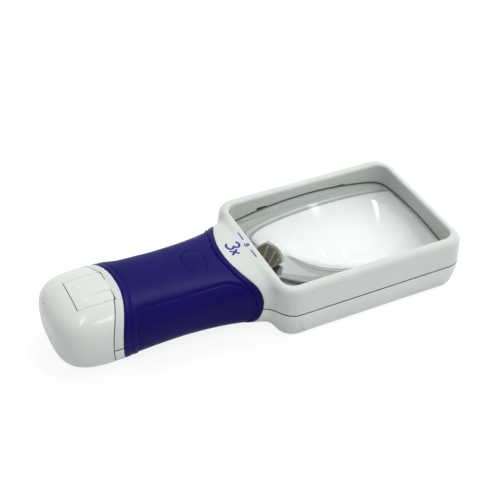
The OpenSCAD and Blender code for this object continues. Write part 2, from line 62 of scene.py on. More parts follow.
# %% Sizes of the object
MM = 0.001
HEAD_L, HEAD_W, HEAD_H, HEAD_R = 80.4, 62.4, 22.3, 8.5
FOOT_INSET, RIM_R, RIM_DRAFT = 3.0, 2.6, 0.5
RIM_SIDE, RIM_END = 5.2, 3.9
PARTING_Z, WALL = 11.65, 1.6
OPENING_R, WELL_WALL = 4.5, 1.2
LENS_TOP_R, LENS_BOTTOM_R, LENS_EDGE = 140.0, 109.0, 1.6
LENS_DROP, LENS_COVER, FRAME_T, FRAME_LIP = 0.15, 1.0, 0.7, 0.8
SNAP_X, SNAP_BACK, SNAP_L, SNAP_H = 18.0, 2.0, 4.5, 5.6
HANDLE_L, HANDLE_W, HANDLE_H = 78.0, 40.4, 24.4
WAIST_W, WAIST_L, COLLAR_W, COLLAR_L = 38.4, 46.2, 45.6, 3.3
COLLAR_FILLET, COLLAR_DROP, ARCH = 3.0, 0.2, 0.6
SECTION_N, COLLAR_N = 2.7, 3.4
GRIP_T, GRIP_FRONT_R, GRIP_FRONT_L = 1.3, 37.8, 9.4
GRIP_SIDE_R, GRIP_SIDE_L, GRIP_SIDE_RISE = 21.0, 3.4, 2.85
PANEL_D, PANEL_Y, PANEL_IN, PANEL_REAR_R, PANEL_FRONT_R = 0.6, 13.6, 3.5, 7.0, 10.0
GROOVE_D, GROOVE_W, GROOVE_IN = 0.5, 0.5, 2.0
DOME_L, DOME_N, SEAM_L, SEAM_R, BAND_W = 21.2, 3.5, 23.7, 36.8, 3.0
CAP_WALL, SPIGOT_L = 1.6, 6.0
TONGUE_W, TONGUE_L, TONGUE_T, STRIP_W = 15.4, 14.0, 1.4, 2.3
BUTTON_L, BUTTON_W, BUTTON_BACK = 8.4, 13.5, 21.2
SHADE_W, SHADE_L, SHADE_R, SHADE_Z, BOARD_TOP, LENS_ROOF = 13.0, 10.6, 16.4, 4.0, 13.2, 0.9
FIT, SLACK = 0.1, 0.3
print("head", HEAD_L, "x", HEAD_W, "mm, handle", HANDLE_L, "x", HANDLE_W, "mm")

# %% Places that follow from the sizes
TIP_X = -(HANDLE_L + HEAD_L) / 2
HEAD_X0 = TIP_X + HANDLE_L
HEAD_X = HEAD_X0 + HEAD_L / 2
DOME_X, WAIST_X = TIP_X + DOME_L, TIP_X + WAIST_L
COLLAR_X, SEAM_X = HEAD_X0 - COLLAR_L, TIP_X + SEAM_L
SEAM_CX = SEAM_X - SEAM_R
GRIP_FRONT_X = HEAD_X0 - GRIP_FRONT_L
GRIP_CX = GRIP_FRONT_X + GRIP_FRONT_R
GRIP_SIDE_X, GRIP_SIDE_Z = HEAD_X0 - GRIP_SIDE_L - GRIP_SIDE_R, PARTING_Z + GRIP_SIDE_RISE
BUTTON_X = HEAD_X0 - BUTTON_BACK
OPENING_L, OPENING_W = HEAD_L - 2 * RIM_END, HEAD_W - 2 * RIM_SIDE
WELL_X = HEAD_X - OPENING_L / 2
SHADE_CX = WELL_X + SHADE_L - SHADE_R
LENS_Z = PARTING_Z - LENS_DROP
CORE_INSET = GRIP_T + FIT
CAVITY_INSET = CORE_INSET + WALL
SPIGOT_INSET = CAP_WALL + SLACK
print("head middle at x =", HEAD_X, "mm, seam of the cap at x =", SEAM_X, "mm")

# %% [markdown]
# ## Camera
# The camera looks down at the object from the side of the cap, as the photograph
# does, with a long lens. Its three axes are built from a turn, a height and a small
# roll, which is easier to trim than a look-at constraint.

# %% Camera
CAMERA_TURN, CAMERA_HEIGHT, CAMERA_ROLL = (math.radians(a) for a in (-27.88, 39.83, 2.23))
CAMERA_AWAY, NEAR_CLIP = 0.410, 0.01
CAMERA_TARGET = Vector((6.5, 10.88, 10.4)) * MM
SENSOR, FOCAL_LENGTH = 36, 75.6

back = Vector((
    math.sin(CAMERA_TURN) * math.cos(CAMERA_HEIGHT),
    -math.cos(CAMERA_TURN) * math.cos(CAMERA_HEIGHT),
    math.sin(CAMERA_HEIGHT)))
right = Vector((math.cos(CAMERA_TURN), math.sin(CAMERA_TURN), 0))
up = back.cross(right)
rolled_right = math.cos(CAMERA_ROLL) * right + math.sin(CAMERA_ROLL) * up
rolled_up = math.cos(CAMERA_ROLL) * up - math.sin(CAMERA_ROLL) * right
camera_data = bpy.data.cameras.new("camera")
camera_data.sensor_width = SENSOR
camera_data.lens = FOCAL_LENGTH
camera_data.clip_start = NEAR_CLIP
camera = bpy.data.objects.new("camera", camera_data)
camera.matrix_world = Matrix((rolled_right, rolled_up, back)).transposed().to_4x4()
camera.location = CAMERA_TARGET + back * CAMERA_AWAY
scene.collection.objects.link(camera)
scene.camera = camera
print("camera at, mm:", [round(v / MM, 1) for v in camera.location])

# %% [markdown]
# ## Node helpers
# Every finish below is a small node tree. It could be drawn in the shader editor, but
# as code it can be read and repeated. The helpers keep each tree to short lines: one
# makes a node and fills its sockets, and the others stand for the nodes that come back
# in most finishes.

# %% Node helpers
def add_node(tree, kind, inputs=None, **settings):
    node = tree.nodes.new(kind)
    for key, value in settings.items():
        setattr(node, key, value)
    for key, value in (inputs or {}).items():
        if isinstance(value, bpy.types.NodeSocket):
            tree.links.new(value, node.inputs[key])
        else:
            node.inputs[key].default_value = value
    return node


def math_node(tree, operation, *values):
    return add_node(tree, "ShaderNodeMath", dict(enumerate(values)), operation=operation).outputs[0]


def map_range(tree, value, low, high, to_low, to_high, kind="LINEAR"):
    return add_node(tree, "ShaderNodeMapRange", {
        "Value": value, "From Min": low, "From Max": high, "To Min": to_low, "To Max": to_high},
        interpolation_type=kind).outputs["Result"]


def mix(tree, factor, first, second):
    return add_node(tree, "ShaderNodeMixShader", {0: factor, 1: first, 2: second}).outputs[0]


def axis_of(tree, place, axis):
    return add_node(tree, "ShaderNodeSeparateXYZ", {"Vector": place}).outputs[axis]


def by_ray(tree, plain, to_eye, to_glass):
    """Shows one shader to the camera, one to gloss and glass, and a plain one to other rays."""
    path = add_node(tree, "ShaderNodeLightPath").outputs
    through_glass = math_node(tree, "MAXIMUM", path["Is Glossy Ray"], path["Is Transmission Ray"])
    return mix(tree, through_glass, mix(tree, path["Is Camera Ray"], plain, to_eye), to_glass)


print("node helpers ready")

# %% Colour helpers
def grey(value):
    return value, value, value, 1


def from_srgb(r, g, b):
    def one(v):
        v /= 255
        return v / 12.92 if v <= 0.04045 else ((v + 0.055) / 1.055) ** 2.4
    return one(r), one(g), one(b), 1.0


def ramp(tree, factor, *stops):
    node = add_node(tree, "ShaderNodeValToRGB", {"Fac": factor})
    points = node.color_ramp.elements
    while len(points) < len(stops):
        points.new(0.5)
    for point, (position, colour) in zip(points, stops):
        point.position = position
        point.color = colour
    return node.outputs["Color"]


print("middle grey of a screen as light:", round(from_srgb(128, 128, 128)[0], 3))

# %% Finish helpers
def new_finish(name, **sockets):
    material = bpy.data.materials.new(name)
    material.use_nodes = True
    tree = material.node_tree
    shader = tree.nodes["Principled BSDF"]
    for key, value in sockets.items():
        shader.inputs[key.replace("_", " ")].default_value = value
    place = add_node(tree, "ShaderNodeTexCoord").outputs["Object"]
    return material, tree, shader, place


def noise(tree, place, scale, detail=2.0, roughness=0.5):
    return add_node(tree, "ShaderNodeTexNoise", {
        "Vector": place, "Scale": scale, "Detail": detail, "Roughness": roughness}).outputs["Fac"]


def mottle(tree, shader, factor, first, second, start=0.3, end=0.7):
    """Lets the base colour wander between two tones."""
    tint = ramp(tree, factor, (start, first), (end, second))
    tree.links.new(tint, shader.inputs["Base Color"])
    return tint


def roughen(tree, shader, factor, low, high):
    tree.links.new(map_range(tree, factor, 0, 1, low, high), shader.inputs["Roughness"])


def bump(tree, shader, height, strength, distance=0.0001):
    node = add_node(tree, "ShaderNodeBump", {"Height": height, "Strength": strength,
                                             "Distance": distance})
    tree.links.new(node.outputs["Normal"], shader.inputs["Normal"])


print("finish helpers ready")

# %% [markdown]
# ## Floor
# The photograph is a cut-out on white. The floor is a pale sheet that takes the
# object's soft shadow, and only what the camera, a reflection or the lens sees of it
# is raised towards white, so the object itself is lit at a plain level. A sheet that strong
# lamps light to white would throw that light onto the object too.

# %% Floor sheet
FLOOR_REACH, FLOOR_GAP = 3.0, 0.0001
floor_mesh = bpy.data.meshes.new("floor")
floor_mesh.from_pydata([(-FLOOR_REACH, -FLOOR_REACH, 0), (FLOOR_REACH, -FLOOR_REACH, 0),
                        (FLOOR_REACH, FLOOR_REACH, 0), (-FLOOR_REACH, FLOOR_REACH, 0)],
                       [], [(0, 1, 2, 3)])
floor = bpy.data.objects.new("floor", floor_mesh)
floor.location.z = -FLOOR_GAP
scene.collection.objects.link(floor)
floor_paper = bpy.data.materials.new("floor_paper")
floor_paper.use_nodes = True
floor_mesh.materials.append(floor_paper)
tree = floor_paper.node_tree
tree.nodes.remove(tree.nodes["Principled BSDF"])
print("the floor is", 2 * FLOOR_REACH, "m wide")

# %% [markdown]
# ## Shade under the head
# In the photograph the sheet looks darker under the far end of the head, and a thin
# dark line bounds the bright field in the lens. The lamps and the foot of the model
# don't give these by themselves, so both are drawn on the sheet, from the sheet's own
# coordinates. Only rays that come by way of gloss or glass see them.

# %% Shade on the sheet
DIM_X, DIM_GLOW = (0.045, 0.085), (0.57, 0.26)
FOOT_R, FOOT_X = 16.0, HEAD_X + 5.5
FOOT_STOPS = ((0.84, 1.0), (0.89, 0.05), (0.92, 0.05), (0.96, 0.6))


def vector_math(tree, operation, a, b=(0, 0, 0)):
    return add_node(tree, "ShaderNodeVectorMath", {0: a, 1: b}, operation=operation).outputs


paper_place = add_node(tree, "ShaderNodeTexCoord").outputs["Object"]
head_shade = map_range(tree, axis_of(tree, paper_place, "X"), *DIM_X, *DIM_GLOW, "SMOOTHSTEP")
from_middle = vector_math(tree, "SUBTRACT", paper_place, (FOOT_X * MM, 0, 0))[0]
to_side = vector_math(tree, "MULTIPLY", from_middle, (-1, 1, 0))[0]
corner_middle = ((OPENING_L / 2 - FOOT_R) * MM, (OPENING_W / 2 - FOOT_R) * MM, 0)
past = vector_math(tree, "SUBTRACT", to_side, corner_middle)[0]
from_corner = vector_math(tree, "LENGTH", vector_math(tree, "MAXIMUM", past)[0])["Value"]
share = math_node(tree, "DIVIDE", from_corner, FOOT_R * MM)
foot_shade = ramp(tree, share, *((position, grey(value)) for position, value in FOOT_STOPS))
print("the sheet darkens from x =", DIM_X[0] / MM, "to", DIM_X[1] / MM, "mm")

# %% Paper
PAPER, EYE_SHADE, EYE_GLOW, GLASS_SHADE = (0.82, 0.83, 0.83, 1), 0.22, 0.86, 0.6


def lit_paper(tree, shade, glow, colour=grey(1)):
    matt = add_node(tree, "ShaderNodeBsdfDiffuse", {"Color": grey(shade)})
    light = add_node(tree, "ShaderNodeEmission", {"Color": colour, "Strength": glow})
    return add_node(tree, "ShaderNodeAddShader", {0: matt.outputs[0], 1: light.outputs[0]}).outputs[0]


bounce = add_node(tree, "ShaderNodeBsdfDiffuse", {"Color": PAPER}).outputs[0]
paper = by_ray(tree, bounce, lit_paper(tree, EYE_SHADE, EYE_GLOW),
               lit_paper(tree, GLASS_SHADE, head_shade, foot_shade))
tree.links.new(paper, tree.nodes["Material Output"].inputs["Surface"])
print("the paper has", len(tree.nodes), "nodes")

# %% [markdown]
# ## World
# The world is the soft light of a studio, a little stronger from the back right. Gloss
# and glass see a pale dome instead, with two narrow bright strips that stand for the
# windows or tubes whose images curve over the lens. Lamps could give these images too,
# but here they can be set without a change of the light.

# %% World
SKY_COLOUR, SKY_REACH, SKY_LIGHT = (0.96, 0.985, 1.0, 1), 1.4, (0.36, 0.64)
DOME_STOPS = ((0.0, (1, 1, 1, 1)), (0.12, (0.86, 0.89, 0.88, 1)), (0.35, (0.62, 0.65, 0.64, 1)),
              (1.0, (0.48, 0.51, 0.5, 1)))
world = bpy.data.worlds.new("studio")
world.use_nodes = True
scene.world = world
tree = world.node_tree
sky = tree.nodes["Background"]
sky.inputs["Color"].default_value = SKY_COLOUR
way = add_node(tree, "ShaderNodeTexCoord").outputs["Generated"]
east, north, height = add_node(tree, "ShaderNodeSeparateXYZ", {"Vector": way}).outputs
to_back_right = math_node(tree, "ADD", north, east)
tree.links.new(map_range(tree, to_back_right, -SKY_REACH, SKY_REACH, *SKY_LIGHT), sky.inputs["Strength"])
white = add_node(tree, "ShaderNodeBackground", {"Color": grey(1), "Strength": 1.0}).outputs[0]
dome = add_node(tree, "ShaderNodeBackground", {
    "Strength": 1.0, "Color": ramp(tree, height, *DOME_STOPS)}).outputs[0]
print("sky light from", SKY_LIGHT[0], "to", SKY_LIGHT[1])

# %% Strips of light in the dome
DOME_STRIPS = ((1.10, 0.035, 0.1, 0.39, 0.22, 4.5), (0.86, 0.015, 0.3, 0.28, 0.30, 9))


def soft_band(tree, value, middle, half):
    away = math_node(tree, "ABSOLUTE", math_node(tree, "SUBTRACT", value, middle))
    return map_range(tree, away, 0, half, 1, 0, "SMOOTHSTEP")


turn = math_node(tree, "ARCTAN2", north, east)
for heading, half_turn, lean, rise, half_rise, strength in DOME_STRIPS:
    leaning = math_node(tree, "MULTIPLY_ADD", height, lean, turn)
    strip = math_node(tree, "MULTIPLY", soft_band(tree, leaning, heading + lean * rise, half_turn),
                      soft_band(tree, height, rise, half_rise))
    glint = add_node(tree, "ShaderNodeBackground", {
        "Strength": math_node(tree, "MULTIPLY", strip, strength)}).outputs[0]
    dome = add_node(tree, "ShaderNodeAddShader", {0: dome, 1: glint}).outputs[0]
tree.links.new(by_ray(tree, sky.outputs[0], white, dome), tree.nodes["World Output"].inputs["Surface"])
print("the world has", len(tree.nodes), "nodes")

# %% [markdown]
# ## Lamps
# Three soft lamps shape the object: a large one from the back right, a weak one low in
# front and a small one from above. Each would mirror in the lens as a bright square,
# so they are kept out of gloss and glass, and the dome gives the reflections.

# %% Lamps
AIM = (0.01, 0.0, 0.01)


def softbox(name, place, aim, width, height, power):
    data = bpy.data.lights.new(name, "AREA")
    data.shape = "RECTANGLE"
    data.size, data.size_y = width, height
    data.energy = power
    lamp = bpy.data.objects.new(name, data)
    lamp.location = place
    lamp.rotation_mode = "QUATERNION"
    lamp.rotation_quaternion = (Vector(aim) - Vector(place)).to_track_quat("-Z", "Y")
    scene.collection.objects.link(lamp)
    return lamp


def keep_out_of_mirrors(lamp):
    lamp.visible_glossy = False
    lamp.visible_transmission = False


keep_out_of_mirrors(softbox("lamp_above", (0.33, 0.36, 0.66), AIM, width=0.50, height=0.45, power=2.5))
keep_out_of_mirrors(softbox("lamp_front", (0.50, -0.70, 0.22), AIM, width=0.40, height=0.30, power=0.3))
keep_out_of_mirrors(softbox("lamp_key", (0.26, -0.28, 0.70), AIM, width=0.20, height=0.20, power=1.1))

# %% [markdown]
# ## Forms as fields
# A moulded shell flows from a boxy head into a rounded handle, with fillets that are
# awkward to push and pull as polygons. A field gives each point of space its distance
# to the surface, so shapes can be joined, cut and rounded by plain arithmetic.

# %% Field helpers
TINY = 1e-9


def lerp(a, b, t):
    return a + (b - a) * t


def clamp01(t):
    return np.clip(t, 0, 1)


def smooth01(t):
    t = clamp01(t)
    return t * t * (3 - 2 * t)


def round_max(a, b, r):
    """What lies in both fields, with the edge between them rounded by r."""
    return np.minimum(-r, np.maximum(a, b)) + np.hypot(np.maximum(a + r, 0), np.maximum(b + r, 0))


def soft_min(a, b, k):
    """What lies in either field, with a fillet between them."""
    h = clamp01(0.5 + 0.5 * (b - a) / k)
    return lerp(b, a, h) - k * h * (1 - h)


def near_distance(scale, x, y, z, step=0.02):
    """Turns a scale that is 1 on the surface into a distance that is true near it."""
    here = scale(x, y, z)
    slope_x = (scale(x + step, y, z) - here) / step
    slope_y = (scale(x, y + step, z) - here) / step
    slope_z = (scale(x, y, z + step) - here) / step
    return (here - 1) / np.sqrt(slope_x ** 2 + slope_y ** 2 + slope_z ** 2 + TINY)


def rounded_box(dx, dy, half_l, half_w, r):
    qx, qy = np.abs(dx) - (half_l - r), np.abs(dy) - (half_w - r)
    return np.hypot(np.maximum(qx, 0), np.maximum(qy, 0)) + np.minimum(np.maximum(qx, qy), 0) - r


print("a round of 1 mm takes", round(float(round_max(0.0, 0.0, 1.0)), 3), "mm off a square edge")

# %% [markdown]
# ## The handle's form
# The handle is waisted, domed at the rear and squarer towards the collar. Its section
# is a superellipse: an ellipse whose powers are raised above 2, so that the sides go
# flat and the corners stay round. A loft through drawn sections could make it, but one
# formula gives every section, and the same form inset by any wall.

# %% The handle's form
OVERLAP = 1.0


def rear_t(x):
    return clamp01((WAIST_X - x) / (WAIST_X - DOME_X))


def front_t(x):
    return np.maximum(0, (x - WAIST_X) / (COLLAR_X - WAIST_X))


def half_w(x):
    fillet = clamp01((x - COLLAR_X) / (WELL_X - COLLAR_X))
    rear = lerp(WAIST_W, HANDLE_W, rear_t(x) ** 2) / 2
    ahead = lerp(WAIST_W, COLLAR_W, front_t(x) ** SECTION_N) / 2 + COLLAR_FILLET * fillet ** 2
    return np.where(x <= WAIST_X, rear, ahead)


def top_h(x):
    return lerp(HANDLE_H, HEAD_H - COLLAR_DROP, clamp01((x - DOME_X) / (WELL_X - DOME_X))) - PARTING_Z


def bottom_h(x):
    t = np.where(x <= WAIST_X, rear_t(x), front_t(x))
    return PARTING_Z - ARCH * np.maximum(0, 1 - t ** 2)


def handle(x, y, z, inset=0.0):
    def scale(x, y, z):
        n = lerp(SECTION_N, COLLAR_N, clamp01(front_t(x)))
        wide = np.abs(y / (half_w(x) - inset)) ** n
        high = np.where(z > PARTING_Z, (z - PARTING_Z) / (top_h(x) - inset),
                        (PARTING_Z - z) / (bottom_h(x) - inset)) ** n
        round_end = np.maximum(0, (DOME_X - x) / (DOME_L - inset)) ** DOME_N
        return ((wide + high) ** (DOME_N / n) + round_end) ** (1 / DOME_N)
    return np.maximum(near_distance(scale, x, y, z), x - WELL_X - OVERLAP)


print("half width at the waist:", float(half_w(np.float64(WAIST_X))))

# %% [markdown]
# ## The head's form, and the two joined
# The head is a rounded box that draws in towards its foot, with a rounded rim. A soft
# minimum joins it to the handle and leaves the fillet of the real moulding, which a
# Boolean of two meshes would need a bevel for.

# %% The head's form, and the two joined
FILLET, LEAST_ROUND = 2.4, 0.4


def head(x, y, z, inset=0.0):
    plan = rounded_box(x - HEAD_X, y, HEAD_L / 2 - inset, HEAD_W / 2 - inset, HEAD_R - inset)
    down = clamp01((PARTING_Z - z) / (PARTING_Z - inset))
    foot = FOOT_INSET * (1 - np.sqrt(np.maximum(1 - down ** 2, 1e-4)))
    draft = RIM_DRAFT * clamp01((z - PARTING_Z) / (HEAD_H - RIM_R - PARTING_Z))
    side = plan + foot + draft
    return np.maximum(round_max(side, z - (HEAD_H - inset), max(RIM_R - inset, LEAST_ROUND)), inset - z)


def body(x, y, z):
    joined = soft_min(handle(x, y, z), head(x, y, z), FILLET)
    spine = np.maximum(PARTING_Z + top_h(x), HEAD_H)
    return np.maximum(np.maximum(joined, z - spine), -z)


def window(x, y, grow=0.0):
    return rounded_box(x - HEAD_X, y, OPENING_L / 2 + grow, OPENING_W / 2 + grow, OPENING_R + grow)


print("the window is", OPENING_L, "x", OPENING_W, "mm")

# %% [markdown]
# ## Places for the lens, the lamp, the cap and the grip
# Each of these is cut out of the joined form later, or bounds a piece that lies in it.
# As fields they can be shared: the grip and its recess use one front edge, and the cap
# and the housing one seam, each moved by its own clearance.

# %% Places for the lens and the lamp
corner_cut = (OPENING_R + LENS_COVER) * (1 - math.sqrt(0.5))
CORNER_REACH = math.hypot(OPENING_L / 2 + LENS_COVER - corner_cut, OPENING_W / 2 + LENS_COVER - corner_cut)
LENS_TOP_Z = LENS_Z + LENS_EDGE / 2 + LENS_TOP_R - math.sqrt(LENS_TOP_R ** 2 - CORNER_REACH ** 2)
LENS_BOTTOM_Z = LENS_Z - LENS_EDGE / 2 - LENS_BOTTOM_R + math.sqrt(LENS_BOTTOM_R ** 2 - CORNER_REACH ** 2)


def lens_seat(x, y, z):
    over = FRAME_LIP + FIT
    out = (x - HEAD_X) ** 2 + y ** 2
    top = np.sqrt(out + (z - LENS_TOP_Z + LENS_TOP_R) ** 2) - LENS_TOP_R - over
    low = np.sqrt(out + (z - LENS_BOTTOM_Z - LENS_BOTTOM_R) ** 2) - LENS_BOTTOM_R - over
    return np.maximum(np.maximum(top, low), window(x, y, LENS_COVER + FRAME_T + FIT))


def lamp_room(x, y, z, gap):
    reach = LENS_COVER + FRAME_T + SLACK
    flat = np.maximum(np.hypot(x - SHADE_CX, y) - SHADE_R - gap, WELL_X - reach - gap - x)
    flat = np.maximum(flat, np.abs(y) - SHADE_W / 2 - gap)
    return np.maximum(flat, np.maximum(SHADE_Z - gap - z, z - BOARD_TOP - 2 * SLACK))


print("lens from z =", round(LENS_BOTTOM_Z, 2), "to", round(LENS_TOP_Z, 2), "mm")

# %% Places for the cap, the grip, the button and the tongue
FRONT_FILLET = 1.2


def seam(x, y):
    return np.hypot(x - SEAM_CX, y) - SEAM_R


def grip_front(x, y, z):
    """Distance behind the grip's front edge, which is an arc in plan and another from the side."""
    plan = np.hypot(x - GRIP_CX, y) - GRIP_FRONT_R
    side = GRIP_SIDE_R - np.hypot(np.maximum(x - GRIP_SIDE_X, 0), z - GRIP_SIDE_Z)
    return soft_min(plan, side, FRONT_FILLET)


def grip_room(x, y, z, gap):
    return np.maximum(BAND_W + gap - seam(x, y), gap - grip_front(x, y, z))


def button_oval(x, y, grow):
    a, b = BUTTON_L / 2 + grow, BUTTON_W / 2 + grow
    r = np.sqrt(((x - BUTTON_X) / a) ** 2 + (y / b) ** 2)
    slope = np.sqrt(((x - BUTTON_X) / a ** 2) ** 2 + (y / b ** 2) ** 2) / np.maximum(r, 1e-6)
    return (r - 1) / np.maximum(slope, 1e-6)


def tongue_slot(x, y, gap):
    return np.maximum(SEAM_X - TONGUE_L - gap - x, np.abs(y) - TONGUE_W / 2 - gap)


print("grip from x =", round(SEAM_X + BAND_W, 2), "to", round(GRIP_FRONT_X, 2), "mm on top")

# %% [markdown]
# ## From field to mesh
# Dual contouring turns a field into quads. It places one point in every grid cell the
# surface crosses, where the tangent planes at the crossings meet, so flat faces stay
# flat and edges stay crisp on a grid that is much coarser than they are. Blender's own
# volume remesh would round every edge to the size of its grid.

# %% Where the surface crosses the grid
STEP = 0.5
CROSSING_TRIES = 3


def field_slopes(field, p, step=0.01):
    ends = []
    for axis in range(3):
        shift = np.zeros(3)
        shift[axis] = step
        ends.append(field(*(p + shift).T) - field(*(p - shift).T))
    normal = np.stack(ends, 1)
    return normal / np.maximum(np.linalg.norm(normal, axis=1, keepdims=True), TINY)


def crossings(field, value, low, step, axis):
    """Grid edges along an axis that the surface crosses, and the point of each crossing."""
    near, far = [slice(None)] * 3, [slice(None)] * 3
    near[axis], far[axis] = slice(0, -1), slice(1, None)
    solid = value < 0
    start = np.argwhere(solid[tuple(near)] != solid[tuple(far)])
    end = start.copy()
    end[:, axis] += 1
    a, b = value[tuple(start.T)], value[tuple(end.T)]
    p_a, p_b = low + step * start, low + step * end
    for _ in range(CROSSING_TRIES):
        t = clamp01(a / (a - b))[:, None]
        p = p_a + (p_b - p_a) * t
        middle = field(*p.T)
        same = (middle < 0) == (a < 0)
        a, p_a = np.where(same, middle, a), np.where(same[:, None], p, p_a)
        b, p_b = np.where(same, b, middle), np.where(same[:, None], p_b, p)
    return start, p


print("grid of", STEP, "mm")

# %% Dual contouring
GRID_MARGIN, CENTRE_PULL = 2.13, 0.05


def contour(field, low, high, step):
    """Points in mm and quads of the surface where field is 0."""
    low, high = np.array(low, float) - GRID_MARGIN * step, np.array(high, float) + GRID_MARGIN * step
    count = np.ceil((high - low) / step).astype(int) + 1
    x, y, z = np.ix_(*(low[i] + step * np.arange(count[i]) for i in range(3)))
    value = np.broadcast_to(field(x, y, z), count)
    solid = value < 0
    corners = sum(solid[i:count[0] - 1 + i, j:count[1] - 1 + j, k:count[2] - 1 + k].astype(np.int8)
                  for i in (0, 1) for j in (0, 1) for k in (0, 1))
    active = (corners > 0) & (corners < 8)
    total = int(active.sum())
    number = np.full(active.shape, -1)
    number[active] = np.arange(total)
    centre = low + step * (np.argwhere(active) + 0.5)
    normal_sum, target, mass = np.zeros((total, 3, 3)), np.zeros((total, 3)), np.zeros((total, 4))
    quads = []
    for axis in range(3):
        start, p = crossings(field, value, low, step, axis)
        normal = field_slopes(field, p)
        outer = normal[:, :, None] * normal[:, None, :]
        reach = (normal * p).sum(1)[:, None] * normal
        ring = []
        for du, dv in ((1, 1), (0, 1), (0, 0), (1, 0)):
            cell = start.copy()
            cell[:, (axis + 1) % 3] -= du
            cell[:, (axis + 2) % 3] -= dv
            ids = number[tuple(cell.T)]
            ring.append(ids)
            np.add.at(normal_sum, ids, outer)
            np.add.at(target, ids, reach)
            np.add.at(mass, ids, np.hstack([p, np.ones((len(p), 1))]))
        quad = np.stack(ring, 1)
        flip = ~solid[tuple(start.T)]
        quad[flip] = quad[flip][:, ::-1]
        quads.append(quad)
    middle = mass[:, :3] / mass[:, 3:]
    pull = CENTRE_PULL * mass[:, 3, None, None] * np.eye(3)
    rest = target - np.einsum("nij,nj->ni", normal_sum, middle)
    points = middle + np.linalg.solve(normal_sum + pull, rest[:, :, None])[:, :, 0]
    points = np.clip(points, centre - step / 2, centre + step / 2)
    return points, np.vstack(quads)


ball_quads = contour(lambda x, y, z: np.sqrt(x ** 2 + y ** 2 + z ** 2) - 2, [-2] * 3, [2] * 3, 1)[1]
print("a ball 4 mm wide has", len(ball_quads), "faces on a grid of 1 mm")

# %% [markdown]
# ## Moulded pieces
# Every moulded piece is made the same way: its field is meshed, the mesh is shaded
# smooth except at sharp edges, and the piece takes the place of its solid on the body
# that carries it. A modifier could smooth by angle too, but marked edges stay with
# the mesh when it is exported.

# %% Moulded pieces
CREASE = math.radians(40)


def moulding(name, node, field, low, high, finish, body_name, step=STEP):
    """Meshes a field, and lets the piece stand for its CAD node."""
    points, quads = contour(field, low, high, step)
    mesh = bpy.data.meshes.new(name)
    mesh.from_pydata((points * MM).tolist(), [], quads.tolist())
    mesh.validate()
    mesh.polygons.foreach_set("use_smooth", np.ones(len(mesh.polygons), bool))
    mesh.set_sharp_from_angle(angle=CREASE)
    mesh.materials.append(finish)
    piece = bpy.data.objects.new(name, mesh)
    scene.collection.objects.link(piece)
    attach(piece, body_name)
    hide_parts(node)
    size = [round(v, 2) for v in np.ptp(points, axis=0)]
    print(name, "has", len(mesh.polygons), "faces and measures", size, "mm")


print("edges sharper than", round(math.degrees(CREASE)), "degrees stay crisp")

# %% [markdown]
# ## White plastic
# The housing and the cap are glossy white plastic, faintly cool, with the slight ripple
# of a moulding. The gloss could be a low roughness alone, but a coat over a rougher base
# gives both the soft body and the clear highlight. The cap's coat is rougher than that
# of the shells, so that its highlights spread a little.

# %% White plastic
WHITE_SHADE, WHITE_LIGHT = from_srgb(226, 230, 224), from_srgb(232, 235, 230)


def glossy_white(name, coat, coat_roughness):
    material, tree, shader, place = new_finish(
        name, IOR=1.5, Coat_Weight=coat, Coat_Roughness=coat_roughness)
    tint = mottle(tree, shader, noise(tree, place, scale=60, detail=3), WHITE_SHADE, WHITE_LIGHT)
    grain = noise(tree, place, scale=2600, detail=2)
    roughen(tree, shader, grain, low=0.2, high=0.28)
    bump(tree, shader, grain, strength=0.03)
    return material, tree, shader, place, tint


white_plastic = glossy_white("white_plastic", coat=0.5, coat_roughness=0.15)[0]
print("finish:", white_plastic.name)

# %% [markdown]
# ## Painted shade in the parting line
# Where the two shells meet, a dark line of painted shade runs round the head, in place
# of the shadow inside the gap. The gap is modelled, but it is thinner than a pixel, so the
# finish darkens a narrow band of heights beside it, read from the object's own coordinates.

# %% White plastic with painted shade in the parting line
# Heights and dark grey of the band of painted shade along the parting line.
SEAM_SHADE_INNER, SEAM_SHADE_OUTER = 0.22, 0.36
UNSHADED, SEAM_SHADED = grey(1), (0.22, 0.25, 0.23, 1)


def height_share(tree, place):
    """Height above the floor as a share of the handle's height."""
    return map_range(tree, axis_of(tree, place, "Z"), 0, HANDLE_H * MM, 0, 1)


shell_plastic, tree, shader, place, tint = glossy_white("shell_plastic", coat=0.3, coat_roughness=0.06)
# Painted shade: the base colour darkens in a narrow band of heights at the parting line.
seam_shade_stops = ((-SEAM_SHADE_OUTER, UNSHADED), (-SEAM_SHADE_INNER, SEAM_SHADED), (SEAM_SHADE_INNER, SEAM_SHADED), (SEAM_SHADE_OUTER, UNSHADED))
seam_shade = ramp(tree, height_share(tree, place),
            *(((PARTING_Z + off) / HANDLE_H, colour) for off, colour in seam_shade_stops))
seam_shaded_tint = add_node(tree, "ShaderNodeMixRGB", {"Fac": 1.0, "Color1": tint, "Color2": seam_shade},
                  blend_type="MULTIPLY")
tree.links.new(seam_shaded_tint.outputs["Color"], shader.inputs["Base Color"])
# Width of the band of painted shade.
print("the dust line is", 2 * SEAM_SHADE_INNER, "mm wide")

# %% [markdown]
# ## Grip rubber
# The grip is a satin navy rubber with a fine grain, which scatters the light so that it
# never shows a hard glint. One fine noise drives both the roughness and the bump, as a
# real grain does, and a low specular level keeps the blue deep.

# %% Grip rubber
NAVY_SHADE, NAVY_LIGHT = from_srgb(18, 10, 90), from_srgb(23, 15, 102)
grip_rubber, tree, shader, place = new_finish("grip_rubber", IOR=1.45, Specular_IOR_Level=0.11)
mottle(tree, shader, noise(tree, place, scale=140, detail=4), NAVY_SHADE, NAVY_LIGHT,
       start=0.25, end=0.75)
grain = noise(tree, place, scale=3800, detail=3, roughness=0.6)
roughen(tree, shader, grain, low=0.26, high=0.36)
bump(tree, shader, grain, strength=0.15, distance=0.0002)
print("finish:", grip_rubber.name)

# %% [markdown]
# ## The two housings
# The housing is moulded in two shells that meet on the parting line. Both come from
# one field: the outer form, less the grip's recess, the well over the lens, the inside
# and the places for the button, the lamp and the tongue. Cut as one field, the walls of
# the two shells line up all round.

